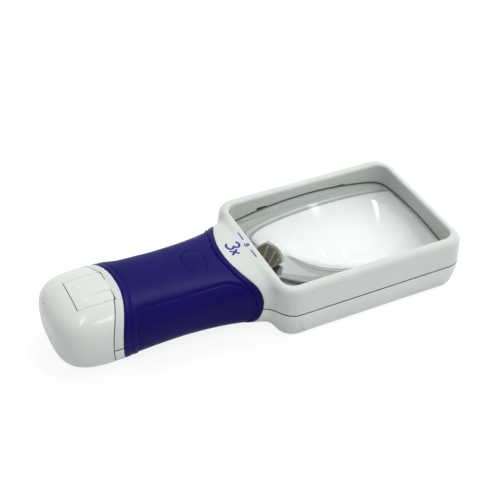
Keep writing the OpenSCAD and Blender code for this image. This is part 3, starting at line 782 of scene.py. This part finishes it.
# %% Housing shell
EDGE_R, RIM_INNER_R, SEAM_EDGE, KEEN_EDGE = 0.3, 0.9, 0.16, 0.01
SCREW_X, SCREW_Y, SCREW_SEAT = COLLAR_X + 0.5, 15.5, 3.5
BOSS_R, SCREW_HEAD_R, SCREW_R, SCREW_RISE = 2.6, 2.2, 1.2, 5.0
SPIGOT_ROOT, DOT_R = 1.0, 0.45
DOT_Y = TONGUE_W / 2 + SLACK / 2
DOT_X = SEAM_CX + math.sqrt(SEAM_R ** 2 - DOT_Y ** 2)


def slit_dots(x, y):
    return np.hypot(x - DOT_X, np.abs(y) - DOT_Y) - DOT_R


def housing_shell(x, y, z):
    skin = round_max(body(x, y, z), -grip_room(x, y, z, 0), EDGE_R)
    root = (np.abs(y) < TONGUE_W / 2) & (z > PARTING_Z)
    skin = round_max(skin, SLACK / 2 - seam(x, y), np.where(root, KEEN_EDGE, SEAM_EDGE))
    skin = np.maximum(skin, -slit_dots(x, y))
    skin = round_max(skin, -window(x, y), RIM_INNER_R)
    core = np.maximum(handle(x, y, z, CORE_INSET), SLACK / 2 - seam(x, y))
    spigot = np.maximum(handle(x, y, z, SPIGOT_INSET), SEAM_X - SPIGOT_L - x)
    spigot = np.maximum(spigot, x - SEAM_X - SPIGOT_ROOT)
    full = np.minimum(np.minimum(skin, core), spigot)
    full = np.maximum(full, -window(x, y))
    inside = np.minimum(handle(x, y, z, CAVITY_INSET), head(x, y, z, WALL))
    full = np.maximum(full, -np.maximum(inside, -window(x, y, WELL_WALL)))
    full = np.maximum(full, -lens_seat(x, y, z))
    full = np.maximum(full, -lamp_room(x, y, z, FIT))
    bore = np.hypot(x - SCREW_X, np.abs(y) - SCREW_Y)
    full = np.minimum(full, np.maximum(bore - BOSS_R, handle(x, y, z, CORE_INSET)))
    full = np.maximum(full, -np.maximum(bore - SCREW_HEAD_R, z - SCREW_SEAT))
    return np.maximum(full, -np.maximum(bore - SCREW_R, z - PARTING_Z - SCREW_RISE))


print("screws at x =", round(SCREW_X, 2), "mm")

# %% Upper and lower shell
LINE_R, LINE_GAP, SNAP_OUT = 0.12, 0.22, 0.2


def upper_housing(x, y, z):
    shell = housing_shell(x, y, z)
    shell = np.maximum(shell, -button_oval(x, y, SLACK))
    snap = np.abs(np.abs(x - HEAD_X + SNAP_BACK) - SNAP_X) - SNAP_L / 2
    snap = np.maximum(snap, np.abs(y) - OPENING_W / 2 - WELL_WALL - SNAP_OUT)
    shell = np.maximum(shell, -np.maximum(snap, np.abs(z - LENS_Z - SNAP_H / 2) - SNAP_H / 2))
    shell = np.maximum(shell, -np.maximum(tongue_slot(x, y, SLACK), x - SEAM_X))
    return round_max(shell, PARTING_Z + LINE_GAP - z, LINE_R)


def lower_housing(x, y, z):
    return round_max(housing_shell(x, y, z), z - PARTING_Z + LINE_GAP, LINE_R)


HOUSING_LOW, HOUSING_HIGH = (SEAM_X - SPIGOT_L, -HEAD_W / 2, 0), (-TIP_X, HEAD_W / 2, HANDLE_H)
moulding("upper_shell", "upper_housing", upper_housing, (HOUSING_LOW[0], HOUSING_LOW[1], PARTING_Z),
         HOUSING_HIGH, shell_plastic, "housing")
moulding("lower_shell", "lower_housing", lower_housing, HOUSING_LOW,
         (HOUSING_HIGH[0], HOUSING_HIGH[1], PARTING_Z), shell_plastic, "housing")

# %% [markdown]
# ## Grip
# The grip is a soft sleeve moulded over the housing. A groove follows its front edge,
# another its rear, and a sunk panel with a fine line round it takes the thumb on one
# side and the fingers on the other. Each is a depth taken off the handle's field, so the
# edges run out softly, which carved polygons would need many loops for.

# %% Finger panel
PANEL_X = (SEAM_X + BAND_W + PANEL_REAR_R, HEAD_X0 - GRIP_SIDE_L - PANEL_IN - PANEL_FRONT_R)


def panel_edge(x, y):
    """Distance in plan outside the finger panel, whose two ends are rounded."""
    out = np.abs(y)
    rear = np.hypot(PANEL_X[0] - x, np.maximum(PANEL_Y + PANEL_REAR_R - out, 0)) - PANEL_REAR_R
    front = np.hypot(x - PANEL_X[1], np.maximum(PANEL_Y + PANEL_FRONT_R - out, 0)) - PANEL_FRONT_R
    return np.where(x < PANEL_X[0], rear, np.where(x > PANEL_X[1], front, PANEL_Y - out))


print("panel from x =", round(PANEL_X[0], 2), "to", round(PANEL_X[1], 2), "mm, without its round ends")

# %% Grip
PANEL_SOFT, GROOVE_SOFT, REAR_GROOVE_D = 0.55, 0.3, 0.2
PANEL_FOOT, PANEL_FADE = 0.4, (3.0, 9.0)
PANEL_LINE_D, PANEL_LINE_W = 0.2, 0.3
RING_GAP, RING_EDGE = 0.1, 0.12
GRIP_BACK, GRIP_SIDE_ROOM = 3, 6


def groove(distance, depth):
    return depth * np.exp(-((distance - GROOVE_IN - GROOVE_W / 2) / GROOVE_SOFT) ** 2)


def grip(x, y, z):
    fade = lerp(PANEL_FOOT, 1, smooth01((z - PANEL_FADE[0]) / (PANEL_FADE[1] - PANEL_FADE[0])))
    edge = panel_edge(x, y)
    sink = PANEL_D * fade * smooth01(0.5 - edge / PANEL_SOFT)
    sink = sink + PANEL_LINE_D * fade * np.exp(-(edge / PANEL_LINE_W) ** 2)
    sink = sink + groove(grip_front(x, y, z), GROOVE_D) + groove(seam(x, y) - BAND_W, REAR_GROOVE_D)
    skin = round_max(handle(x, y, z) + sink, grip_room(x, y, z, FIT), EDGE_R)
    skin = round_max(skin, -np.maximum(button_oval(x, y, RING_GAP), PARTING_Z - z), RING_EDGE)
    return np.maximum(skin, -handle(x, y, z, GRIP_T))


moulding("grip", "grip_sleeve", grip, (SEAM_X - GRIP_BACK, -HEAD_W / 2 + GRIP_SIDE_ROOM, 0),
         (HEAD_X0, HEAD_W / 2 - GRIP_SIDE_ROOM, HANDLE_H), grip_rubber, "housing", STEP * 0.9)

# %% [markdown]
# ## Button
# The button is an oval of the same rubber in a fine ring on top of the grip. Its crown
# is part of a large sphere, rounded where it meets the oval's wall. It moves, so it is a
# piece of its own and rides on the button's body.

# %% Button
BUTTON_PROUD, BUTTON_EDGE, CROWN_R = 0.15, 0.2, 60.0
BUTTON_TOP = PARTING_Z + float(top_h(np.float64(BUTTON_X))) + BUTTON_PROUD
BUTTON_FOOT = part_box("switch_button")[0].z / MM


def button(x, y, z):
    crown = np.sqrt((x - BUTTON_X) ** 2 + y ** 2 + (z - BUTTON_TOP + CROWN_R) ** 2) - CROWN_R
    return np.maximum(round_max(button_oval(x, y, 0), crown, BUTTON_EDGE), BUTTON_FOOT - z)


moulding("button_cover", "switch_button", button,
         (BUTTON_X - BUTTON_L / 2, -BUTTON_W / 2, BUTTON_FOOT),
         (BUTTON_X + BUTTON_L / 2, BUTTON_W / 2, BUTTON_TOP),
         grip_rubber, "button", STEP * 0.6)

# %% [markdown]
# ## Cap
# The cap is a rounded cup that slides over a spigot. Its top has a slot for the tongue,
# a small hole at each side of the slot's root and the little dent that a mould's gate
# leaves. The cup is the handle's own form cut at the seam, so the two run on in line.

# %% Cap
SLIT, SLOT_EDGE = 0.13, 0.08
GATE_X, GATE_Y, GATE_Z, GATE_R = -77.9, 5.13, 19.43, 0.45


def cap(x, y, z):
    cup = round_max(handle(x, y, z), seam(x, y) + SLACK / 2, SEAM_EDGE)
    cup = np.maximum(cup, GATE_R - np.sqrt((x - GATE_X) ** 2 + (y - GATE_Y) ** 2 + (z - GATE_Z) ** 2))
    cup = np.maximum(cup, -handle(x, y, z, CAP_WALL))
    cup = np.maximum(cup, -np.maximum(slit_dots(x, y), PARTING_Z - z))
    slot = np.maximum(SEAM_X - TONGUE_L - SLACK - x, np.abs(y) - TONGUE_W / 2 - 2 * SLIT)
    return round_max(cup, -np.maximum(slot, PARTING_Z - z), SLOT_EDGE)


moulding("end_cap", "battery_cap", cap, (TIP_X, -HANDLE_W / 2, 0), (SEAM_X, HANDLE_W / 2, HANDLE_H),
         white_plastic, "cap", STEP * 0.8)

# %% [markdown]
# ## Tongue
# A springy tongue of the housing lies in the cap's slot, with two sunk strips for the
# fingertip. It is a thin plate of the handle's form with a depth taken off at the strips,
# and it rides on the latch, which bends down to let the cap go.

# %% Tongue
STRIP_D, STRIP_SHARE, STRIP_SOFT = TONGUE_T / 4, 0.7, 0.5
TONGUE_EDGE, ROOT_GAP, TONGUE_LOW = 0.1, 0.02, 5


def tongue(x, y, z):
    strip = np.maximum(np.abs(np.abs(y) - TONGUE_W / 4) - STRIP_W / 2, SEAM_X - STRIP_SHARE * TONGUE_L - x)
    sink = STRIP_D * smooth01(0.5 - strip / STRIP_SOFT)
    plan = np.maximum(SEAM_X - TONGUE_L - x, np.abs(y) - TONGUE_W / 2 - SLIT)
    plate = round_max(handle(x, y, z) + sink, plan, TONGUE_EDGE)
    plate = np.maximum(plate, seam(x, y) - SLACK / 2 + ROOT_GAP)
    return np.maximum(np.maximum(plate, -handle(x, y, z, TONGUE_T)), PARTING_Z - z)


moulding("tongue", "latch_tongue", tongue, (SEAM_X - TONGUE_L, -TONGUE_W / 2, PARTING_Z + TONGUE_LOW),
         (SEAM_X, TONGUE_W / 2, HANDLE_H), white_plastic, "latch", STEP * 0.7)

# %% [markdown]
# ## The mark on the collar
# The lens's power is printed on the collar in plain figures. Blender's text objects are
# flat, so each figure is drawn as strokes: a line of points is widened to a ribbon, and
# every point is laid on the curved collar, a hair above the plastic.

# %% Strokes
MARK_LIFT, LINE_POINTS, HALVINGS = 0.02, 9, 30


def arc_stroke(u, v, across, up, start, end, steps=16):
    turn = np.radians(np.linspace(start, end, steps + 1))
    return np.stack([u + across * np.cos(turn), v + up * np.sin(turn)], 1)


def line_stroke(*points):
    ends, along = np.array(points, float), np.linspace(0, 1, LINE_POINTS)[:, None]
    return np.concatenate([lerp(a, b, along) for a, b in zip(ends, ends[1:])])


def height_of_body(x, y):
    low, high = np.full(x.shape, PARTING_Z), np.full(x.shape, HANDLE_H + 1)
    for _ in range(HALVINGS):
        middle = (low + high) / 2
        inside = body(x, y, middle) < 0
        low, high = np.where(inside, middle, low), np.where(inside, high, middle)
    return high


def ribbon(points, width, x0, y0):
    """Corners of a stroke that reads towards -Y with its top towards +X."""
    way = np.gradient(points, axis=0)
    way /= np.linalg.norm(way, axis=1, keepdims=True)
    side = np.stack([-way[:, 1], way[:, 0]], 1) * width / 2
    both = np.concatenate([points - side, points + side])
    x, y = x0 + both[:, 1], y0 - both[:, 0]
    n = len(points)
    faces = [(i, i + 1, n + i + 1, n + i) for i in range(n - 1)]
    return np.stack([x, y, height_of_body(x, y) + MARK_LIFT], 1), faces


print("collar height:", round(float(height_of_body(np.array([COLLAR_X]), np.zeros(1))[0]), 2), "mm")

# %% The power in figures, between two dashes
three = [arc_stroke(0, 1.25, 1.6, 1.25, 160, -80), arc_stroke(0, -1.3, 1.75, 1.35, 80, -160)]
cross = [line_stroke((-1.3, -1.5), (1.3, 1.5)), line_stroke((-1.3, 1.5), (1.3, -1.5))]
eight = [arc_stroke(0, 0.42, 0.6, 0.42, 0, 360), arc_stroke(0, -0.45, 0.72, 0.48, 0, 360)]
dashes = [line_stroke((-7.9, 0), (-3.3, 0)), line_stroke((3.2, 0), (7.8, 0))]
mark_points, mark_faces = [], []
for strokes, width, x0, y0 in ((three, 0.95, -4.9, 3.2), (cross, 0.9, -6.0, -0.7),
                               (eight, 0.45, 0.1, 1.45), (dashes, 0.5, 0.2, 1.45)):
    for stroke in strokes:
        corners, faces = ribbon(stroke, width, x0, y0)
        first = sum(len(p) for p in mark_points)
        mark_faces += [tuple(first + i for i in f) for f in faces]
        mark_points.append(corners)
mark_mesh = bpy.data.meshes.new("power_mark")
mark_mesh.from_pydata((np.concatenate(mark_points) * MM).tolist(), [], mark_faces)
print("the mark has", len(mark_faces), "faces")

# %% [markdown]
# ## Ink of the mark
# The print is a thin film of blue ink. It could be a colour painted on the plastic, but
# a film of its own keeps a sharp edge at any distance. The Solidify modifier gives it a
# thickness, so that it is a closed piece which reaches into the plastic.

# %% Ink
INK_SHADE, INK_LIGHT = from_srgb(28, 42, 150), from_srgb(38, 54, 168)
mark_ink, tree, shader, place = new_finish("mark_ink", IOR=1.5)
cloud = noise(tree, place, scale=2400, detail=3)
mottle(tree, shader, cloud, INK_SHADE, INK_LIGHT)
roughen(tree, shader, cloud, low=0.35, high=0.5)
mark_mesh.materials.append(mark_ink)
power_mark = bpy.data.objects.new("power_mark", mark_mesh)
scene.collection.objects.link(power_mark)
film = power_mark.modifiers.new("ink_film", "SOLIDIFY")
film.thickness = 2 * MARK_LIFT * MM
film.offset = -1
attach(power_mark, "housing")
print("the ink is", 2 * MARK_LIFT, "mm thick")

# %% [markdown]
# ## Lens
# The lens bends light, so its mesh has to be smooth to the eye of a ray. A flat outline
# is cut into small squares, both faces are lifted onto their spheres, and each corner
# gets the exact normal of its sphere. At its end towards the handle the lens has a pocket
# from below, where the lamp sits.

# %% Outline of the lens, and of the lamp's pocket in it
def quarter_arc(x, y, r, start, steps=10):
    turns = [math.radians(start + 90 * i / steps) for i in range(steps + 1)]
    return [(x + r * math.cos(a), y + r * math.sin(a)) for a in turns]


LENS_HALF_L, LENS_HALF_W = OPENING_L / 2 + LENS_COVER, OPENING_W / 2 + LENS_COVER
LENS_CORNER_R = OPENING_R + LENS_COVER
corner_x, corner_y = LENS_HALF_L - LENS_CORNER_R, LENS_HALF_W - LENS_CORNER_R
before_pocket, after_pocket = [], quarter_arc(HEAD_X - corner_x, -corner_y, LENS_CORNER_R, 180)
for sx, sy, start in ((1, -1, -90), (1, 1, 0), (-1, 1, 90)):
    before_pocket += quarter_arc(HEAD_X + sx * corner_x, sy * corner_y, LENS_CORNER_R, start)

POCKET_R, POCKET_Y, POCKET_STEPS = SHADE_R + 2 * FIT, SHADE_W / 2 + 2 * FIT, 24
pocket_turn = math.asin(POCKET_Y / POCKET_R)
pocket = [(HEAD_X - LENS_HALF_L, POCKET_Y)]
for i in range(POCKET_STEPS + 1):
    a = pocket_turn * (1 - 2 * i / POCKET_STEPS)
    pocket.append((SHADE_CX + POCKET_R * math.cos(a), POCKET_R * math.sin(a)))
pocket.append((HEAD_X - LENS_HALF_L, -POCKET_Y))
print("the pocket is", 2 * POCKET_Y, "mm wide")

# %% A flat sheet cut into small squares
CUT = 1.6
sheet = bmesh.new()
before, around, after = ([sheet.verts.new((px, py, 0)) for px, py in run]
                         for run in (before_pocket, pocket, after_pocket))
sheet.faces.new(before + around + after)
sheet.faces.new(around[::-1]).material_index = 1
for axis, reach in ((0, OPENING_L), (1, OPENING_W)):
    for i in range(int(reach / CUT) + 1):
        at, across = Vector((HEAD_X, 0, 0)), Vector((0, 0, 0))
        at[axis] += i * CUT - reach / 2
        across[axis] = 1
        bmesh.ops.bisect_plane(sheet, geom=sheet.verts[:] + sheet.edges[:] + sheet.faces[:],
                               plane_co=at, plane_no=across)
sheet.verts.index_update()
print("the sheet has", len(sheet.faces), "squares")

# %% [markdown]
# ## The sheet lifted onto three spheres
# Each corner of the sheet goes straight up to the top sphere and down to the lower one,
# or to the roof of the pocket. Walls join them along the edge and round the pocket. Two
# sphere caps joined by a Boolean would leave long thin faces, which bend the light unevenly.

# %% Points on the spheres
LENS_SKINS = {"top": (LENS_TOP_Z - LENS_TOP_R, LENS_TOP_R, 1, 1),
              "low": (LENS_BOTTOM_Z + LENS_BOTTOM_R, LENS_BOTTOM_R, -1, 1),
              "roof": (LENS_TOP_Z - LENS_TOP_R, LENS_TOP_R - LENS_ROOF, 1, -1)}
lens_points, point_number, lens_faces, face_skin = [], {}, [], []


def on_skin(vert, skin):
    """Number of the lens point where a corner of the sheet meets one of the spheres."""
    if (vert.index, skin) not in point_number:
        middle, radius, side, _ = LENS_SKINS[skin]
        rise = math.sqrt(radius ** 2 - (vert.co.x - HEAD_X) ** 2 - vert.co.y ** 2)
        point_number[vert.index, skin] = len(lens_points)
        lens_points.append((vert.co.x * MM, vert.co.y * MM, (middle + side * rise) * MM))
    return point_number[vert.index, skin]


def add_face(corners, skin):
    lens_faces.append(corners)
    face_skin.append(skin)


def down(vert, over, under):
    """Lens points below each other, with the pocket's roof where its wall meets the edge."""
    at_corner = (over, under) == ("top", "low") and any(f.material_index for f in vert.link_faces)
    return [on_skin(vert, skin) for skin in ((over, "roof", under) if at_corner else (over, under))]


for face in sheet.faces:
    under = "roof" if face.material_index else "low"
    add_face([on_skin(v, "top") for v in face.verts], "top")
    add_face([on_skin(v, under) for v in reversed(face.verts[:])], under)
    for loop in face.loops:
        at_pocket = under == "low" and loop.link_loop_radial_next.face.material_index == 1
        if loop.edge.is_boundary or at_pocket:
            a, b = loop.vert, loop.link_loop_next.vert
            over, skin = ("roof", "pocket") if at_pocket else ("top", "edge")
            add_face(down(a, over, under) + down(b, over, under)[::-1], skin)
sheet.free()
print("the lens has", len(lens_points), "points")

# %% Lens mesh with true normals
lens_mesh = bpy.data.meshes.new("lens_glass")
lens_mesh.from_pydata(lens_points, [], lens_faces)
lens_mesh.polygons.foreach_set("use_smooth", np.ones(len(lens_faces), bool))
corner_normals = []
for face, skin in zip(lens_mesh.polygons, face_skin):
    for i in face.vertices:
        if skin in LENS_SKINS:
            middle, _, _, facing = LENS_SKINS[skin]
            away = lens_mesh.vertices[i].co - Vector((HEAD_X, 0, middle)) * MM
            corner_normals.append(facing * away.normalized())
        else:
            corner_normals.append(face.normal)
lens_mesh.normals_split_custom_set(corner_normals)
lens_piece = bpy.data.objects.new("lens_glass", lens_mesh)
scene.collection.objects.link(lens_piece)
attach(lens_piece, "housing")
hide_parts("lens")
print("the lens has", len(lens_faces), "faces")

# %% [markdown]
# ## Lens finish
# The two faces are polished and almost colourless. The edge is ground, so it scatters
# light and looks white through the lens. A real lens also gathers light into a bright
# patch below it, which a path tracer finds only with many samples, so the lens lets
# light pass to shadow rays as a clear sheet does.

# %% Lens finish
LENS_SHADE, LENS_LIGHT, LENS_PASSES = (0.965, 0.985, 0.98, 1), (0.98, 0.995, 0.99, 1), (0.97, 0.98, 0.98, 1)
clear_lens, tree, shader, place = new_finish(
    "clear_lens", IOR=1.585, Transmission_Weight=1.0, Roughness=0.0)
mottle(tree, shader, noise(tree, place, scale=35, detail=2), LENS_SHADE, LENS_LIGHT)
through = add_node(tree, "ShaderNodeBsdfTransparent", {"Color": LENS_PASSES}).outputs[0]
shadow_ray = add_node(tree, "ShaderNodeLightPath").outputs["Is Shadow Ray"]
tree.links.new(mix(tree, shadow_ray, shader.outputs[0], through),
               tree.nodes["Material Output"].inputs["Surface"])
lens_mesh.materials.append(clear_lens)

ground_edge, tree, shader, place = new_finish("ground_edge", IOR=1.5, Specular_IOR_Level=0.0)
frost = noise(tree, place, scale=1800, detail=3)
mottle(tree, shader, frost, from_srgb(240, 245, 240), from_srgb(246, 250, 246))
roughen(tree, shader, frost, low=0.5, high=0.7)
bump(tree, shader, frost, strength=0.1)
lens_mesh.materials.append(ground_edge)
on_edge = np.array([skin == "edge" for skin in face_skin], np.int32)
lens_mesh.polygons.foreach_set("material_index", on_edge)
print("lens finishes:", [m.name for m in lens_mesh.materials])

# %% [markdown]
# ## Pieces inside
# What lies inside shows through the lens, and when the cap is off. These solids keep
# their shape from the frame and each gets its own finish. One function makes the plain
# plastics and metals, since they differ only in colour, grain and gloss.

# %% Plain finishes of the inside
ROUGH_SPREAD, FINER = 0.06, 4


def dress(node, material):
    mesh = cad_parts[node].data
    mesh.materials.clear()
    mesh.materials.append(material)


def plain_finish(name, light, dark, grain_scale, rough, strength, metal):
    material, tree, shader, place = new_finish(name, Metallic=metal)
    cloud = noise(tree, place, scale=grain_scale, detail=3)
    mottle(tree, shader, cloud, from_srgb(*dark), from_srgb(*light))
    roughen(tree, shader, cloud, low=rough - ROUGH_SPREAD, high=rough + ROUGH_SPREAD)
    bump(tree, shader, noise(tree, place, scale=grain_scale * FINER, detail=2), strength=strength)
    return material


for nodes, *look in (
        (["lamp_shade"], "shade_plastic", (112, 104, 96), (100, 93, 86), 900, 0.45, 0.1, 0),
        (["contact_carrier", "switch_plunger"],
         "inner_plastic", (222, 224, 222), (212, 214, 212), 700, 0.45, 0.1, 0),
        (["push_switch"], "switch_plastic", (52, 52, 55), (42, 42, 45), 900, 0.45, 0.1, 0),
        (["resistor"], "resistor_body", (205, 180, 135), (190, 165, 120), 900, 0.45, 0.1, 0),
        (["front_contacts", "cap_contact_bridge"],
         "contact_brass", (226, 190, 105), (208, 170, 84), 700, 0.3, 0.06, 1),
        (["front_spring", "cap_spring"],
         "spring_steel", (205, 206, 208), (186, 188, 190), 900, 0.26, 0.05, 1),
        (["housing_screws"], "screw_steel", (176, 178, 182), (152, 154, 158), 900, 0.34, 0.08, 1),
        (["lamp_strips"], "strip_brass", (244, 212, 130), (232, 194, 104), 700, 0.42, 0.06, 0.55)):
    finish = plain_finish(*look)
    for node in nodes:
        dress(node, finish)
    print(finish.name, "on", *nodes)

# %% [markdown]
# ## Lens frame
# The satin frame round the lens shows as a dark line above the lens's edge and a pale
# strip below it. Two materials would need a cut in the solid, so one finish changes tone
# with height, at the parting line: the dark upper lip is painted shade of the gap over the
# lens's edge, and the pale lower part is painted light on the strip below it.

# %% Lens frame
LIP_SHADE_FADE = 0.3
frame_plastic, tree, shader, place = new_finish("frame_plastic", IOR=1.5)
# Painted shade above the parting line, painted light below it.
mottle(tree, shader, height_share(tree, place), from_srgb(190, 197, 192), from_srgb(92, 102, 96),
       PARTING_Z / HANDLE_H, (PARTING_Z + LIP_SHADE_FADE) / HANDLE_H)
roughen(tree, shader, noise(tree, place, scale=500, detail=3), low=0.34, high=0.46)
bump(tree, shader, noise(tree, place, scale=2000, detail=2), strength=0.1)
dress("lens_frame", frame_plastic)
print("finish:", frame_plastic.name)

# %% [markdown]
# ## Board, lamps and cells
# The board is green laminate, with fine lines of a brick texture for its tracks. The
# lamps are blocks of yellow resin. The cells have a plain grey jacket that leaves a bare
# metal ring at both ends, placed by a ramp along the cell, so no second piece is needed.

# %% Board and lamps
board_laminate, tree, shader, place = new_finish("board_laminate", Roughness=0.35, Coat_Weight=0.4)
tracks = add_node(tree, "ShaderNodeTexBrick", {
    "Vector": place, "Scale": 180.0, "Mortar Size": 0.012, "Color1": from_srgb(24, 92, 58),
    "Color2": from_srgb(28, 102, 64), "Mortar": from_srgb(14, 66, 42)})
tree.links.new(tracks.outputs["Color"], shader.inputs["Base Color"])
bump(tree, shader, tracks.outputs["Fac"], strength=0.15)
dress("circuit_board", board_laminate)

lamp_resin, tree, shader, place = new_finish("lamp_resin", IOR=1.5)
cloud = noise(tree, place, scale=900, detail=2)
mottle(tree, shader, cloud, from_srgb(240, 224, 150), from_srgb(248, 236, 176))
roughen(tree, shader, cloud, low=0.22, high=0.36)
dress("led_lamps", lamp_resin)
print("finishes:", board_laminate.name, lamp_resin.name)

# %% Cells
JACKET_STOPS = ((0.0, from_srgb(196, 198, 200)), (0.03, from_srgb(120, 128, 130)),
                (0.96, from_srgb(128, 136, 138)), (0.98, from_srgb(200, 202, 204)))
cell_jacket, tree, shader, place = new_finish("cell_jacket", Coat_Weight=0.3)
low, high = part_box("battery_left")
share = map_range(tree, axis_of(tree, place, "X"), low.x, high.x, 0, 1)
tree.links.new(ramp(tree, share, *JACKET_STOPS), shader.inputs["Base Color"])
scuff = noise(tree, place, scale=800, detail=3)
roughen(tree, shader, scuff, low=0.22, high=0.4)
bump(tree, shader, scuff, strength=0.05)
dress("battery_left", cell_jacket)
dress("battery_right", cell_jacket)
print("dressed nodes:", sum(1 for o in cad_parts.values() if not o.hide_render))

# %% [markdown]
# ## Small lamps for the handle and the well
# A photographer keeps a lamp's mirror image out of a lens with a black card. Light
# linking does the same: three of these lamps shine only on the grip and the cap, and
# draw the highlights there. The fourth lights what lies below the lens, down the well.

# %% Handle lamps and well lamp
WELL_AIM = (0.039, 0.02, 0.008)


def shine_on(lamp, *pieces):
    lit = bpy.data.collections.new(lamp.name)
    for name in pieces:
        lit.objects.link(bpy.data.objects[name])
    lamp.light_linking.receiver_collection = lit


lamp_shoulder = softbox("lamp_shoulder", (0.24, 0.24, 0.74), AIM, width=0.20, height=0.20, power=0.9)
shine_on(lamp_shoulder, "grip", "button_cover")
lamp_cap_near = softbox("lamp_cap_near", (0.105, -0.13, 0.80), AIM, width=0.22, height=0.03, power=0.35)
shine_on(lamp_cap_near, "end_cap", "tongue")
lamp_cap_far = softbox("lamp_cap_far", (-0.145, 0.09, 0.80), AIM, width=0.30, height=0.016, power=0.4)
shine_on(lamp_cap_far, "end_cap", "tongue")
lamp_well = softbox("lamp_well", (-0.03, -0.17, 0.62), WELL_AIM, width=0.20, height=0.20, power=1.5)
keep_out_of_mirrors(lamp_well)
shine_on(lamp_well, "lower_shell", "lens_glass", "lens_frame", "lamp_strips")
